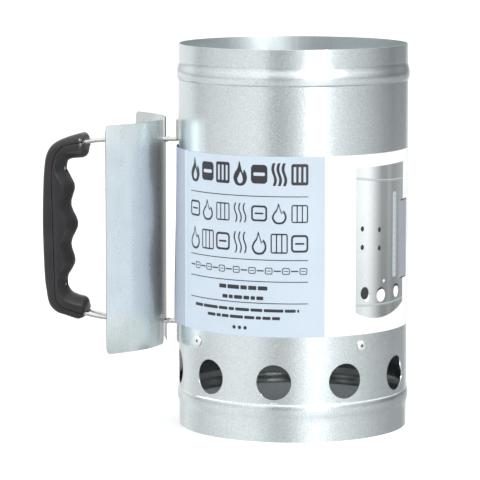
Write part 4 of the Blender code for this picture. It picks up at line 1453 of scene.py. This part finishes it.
CAMERA_DISTANCE, CAMERA_HEIGHT = 2.1129, 0.4051
CAMERA_PITCH, CAMERA_YAW = math.radians(-7.355), math.radians(1.0332)
CAMERA_SENSOR, CAMERA_LENS = 36.0, 221.7
CAMERA_CLIP = (0.1, 60.0)


def make_camera():
    data = bpy.data.cameras.new("camera")
    data.sensor_width = CAMERA_SENSOR
    data.lens = CAMERA_LENS
    data.clip_start, data.clip_end = CAMERA_CLIP
    camera = bpy.data.objects.new("camera", data)
    camera.location = Vector(polar(CAMERA_DISTANCE, CAMERA_ANGLE, CAMERA_HEIGHT))
    heading = math.radians(CAMERA_ANGLE) + CAMERA_YAW
    level = math.cos(CAMERA_PITCH)
    ahead = Vector((-math.sin(heading) * level, math.cos(heading) * level, math.sin(CAMERA_PITCH)))
    camera.rotation_euler = ahead.to_track_quat("-Z", "Y").to_euler()
    bpy.context.scene.collection.objects.link(camera)
    bpy.context.scene.camera = camera


def main():
    galvanised = galvanised_look(
        "galvanised_sheet", (0.815, 0.89, 0.91), 0.13, 0.20, grain=1.0, metallic=0.92, paint_inner_shade=True
    )
    shield_sheet = galvanised_look(
        "shield_sheet", (0.785, 0.838, 0.842), 0.26, 0.34, grain=0.22, metallic=0.78
    )
    grate_steel = galvanised_look("grate_steel", (0.60, 0.62, 0.62), 0.36, 0.48, grain=1.2)
    aluminium = plain_metal_look("rivet_aluminium", (0.95, 0.95, 0.95), 0.26, 0.38, metallic=0.7)
    pin_steel = plain_metal_look("mandrel_steel", (0.16, 0.16, 0.16), 0.35, 0.55)
    wire_steel = plain_metal_look(
        "plated_wire", (0.76, 0.76, 0.75), 0.16, 0.30, streak=(0.15, 1.0, 1.0), scale=1600.0
    )
    screw_steel = plain_metal_look("screw_steel", (0.85, 0.85, 0.83), 0.18, 0.32)
    plastic = plastic_look()
    make_body_shell(galvanised)
    make_rivets(aluminium, pin_steel)
    make_grate(grate_steel)
    make_heat_shield(shield_sheet)
    make_grip(plastic)
    make_screws(screw_steel)
    make_wires(wire_steel)
    make_card_sleeve(card_look())
    ink = ink_look("print_ink", (0.024, 0.024, 0.032))
    make_print(ink)
    make_picture(ink, picture_look(), ink_look("pale_ink", (0.41, 0.475, 0.48)),
                 ink_look("shade_ink", (0.30, 0.325, 0.365)), ink_look("white_ink", (0.90, 0.90, 0.90)))
    make_floor()
    make_world()
    make_lights()
    make_camera()
    bpy.context.scene.view_settings.view_transform = "Standard"


main()
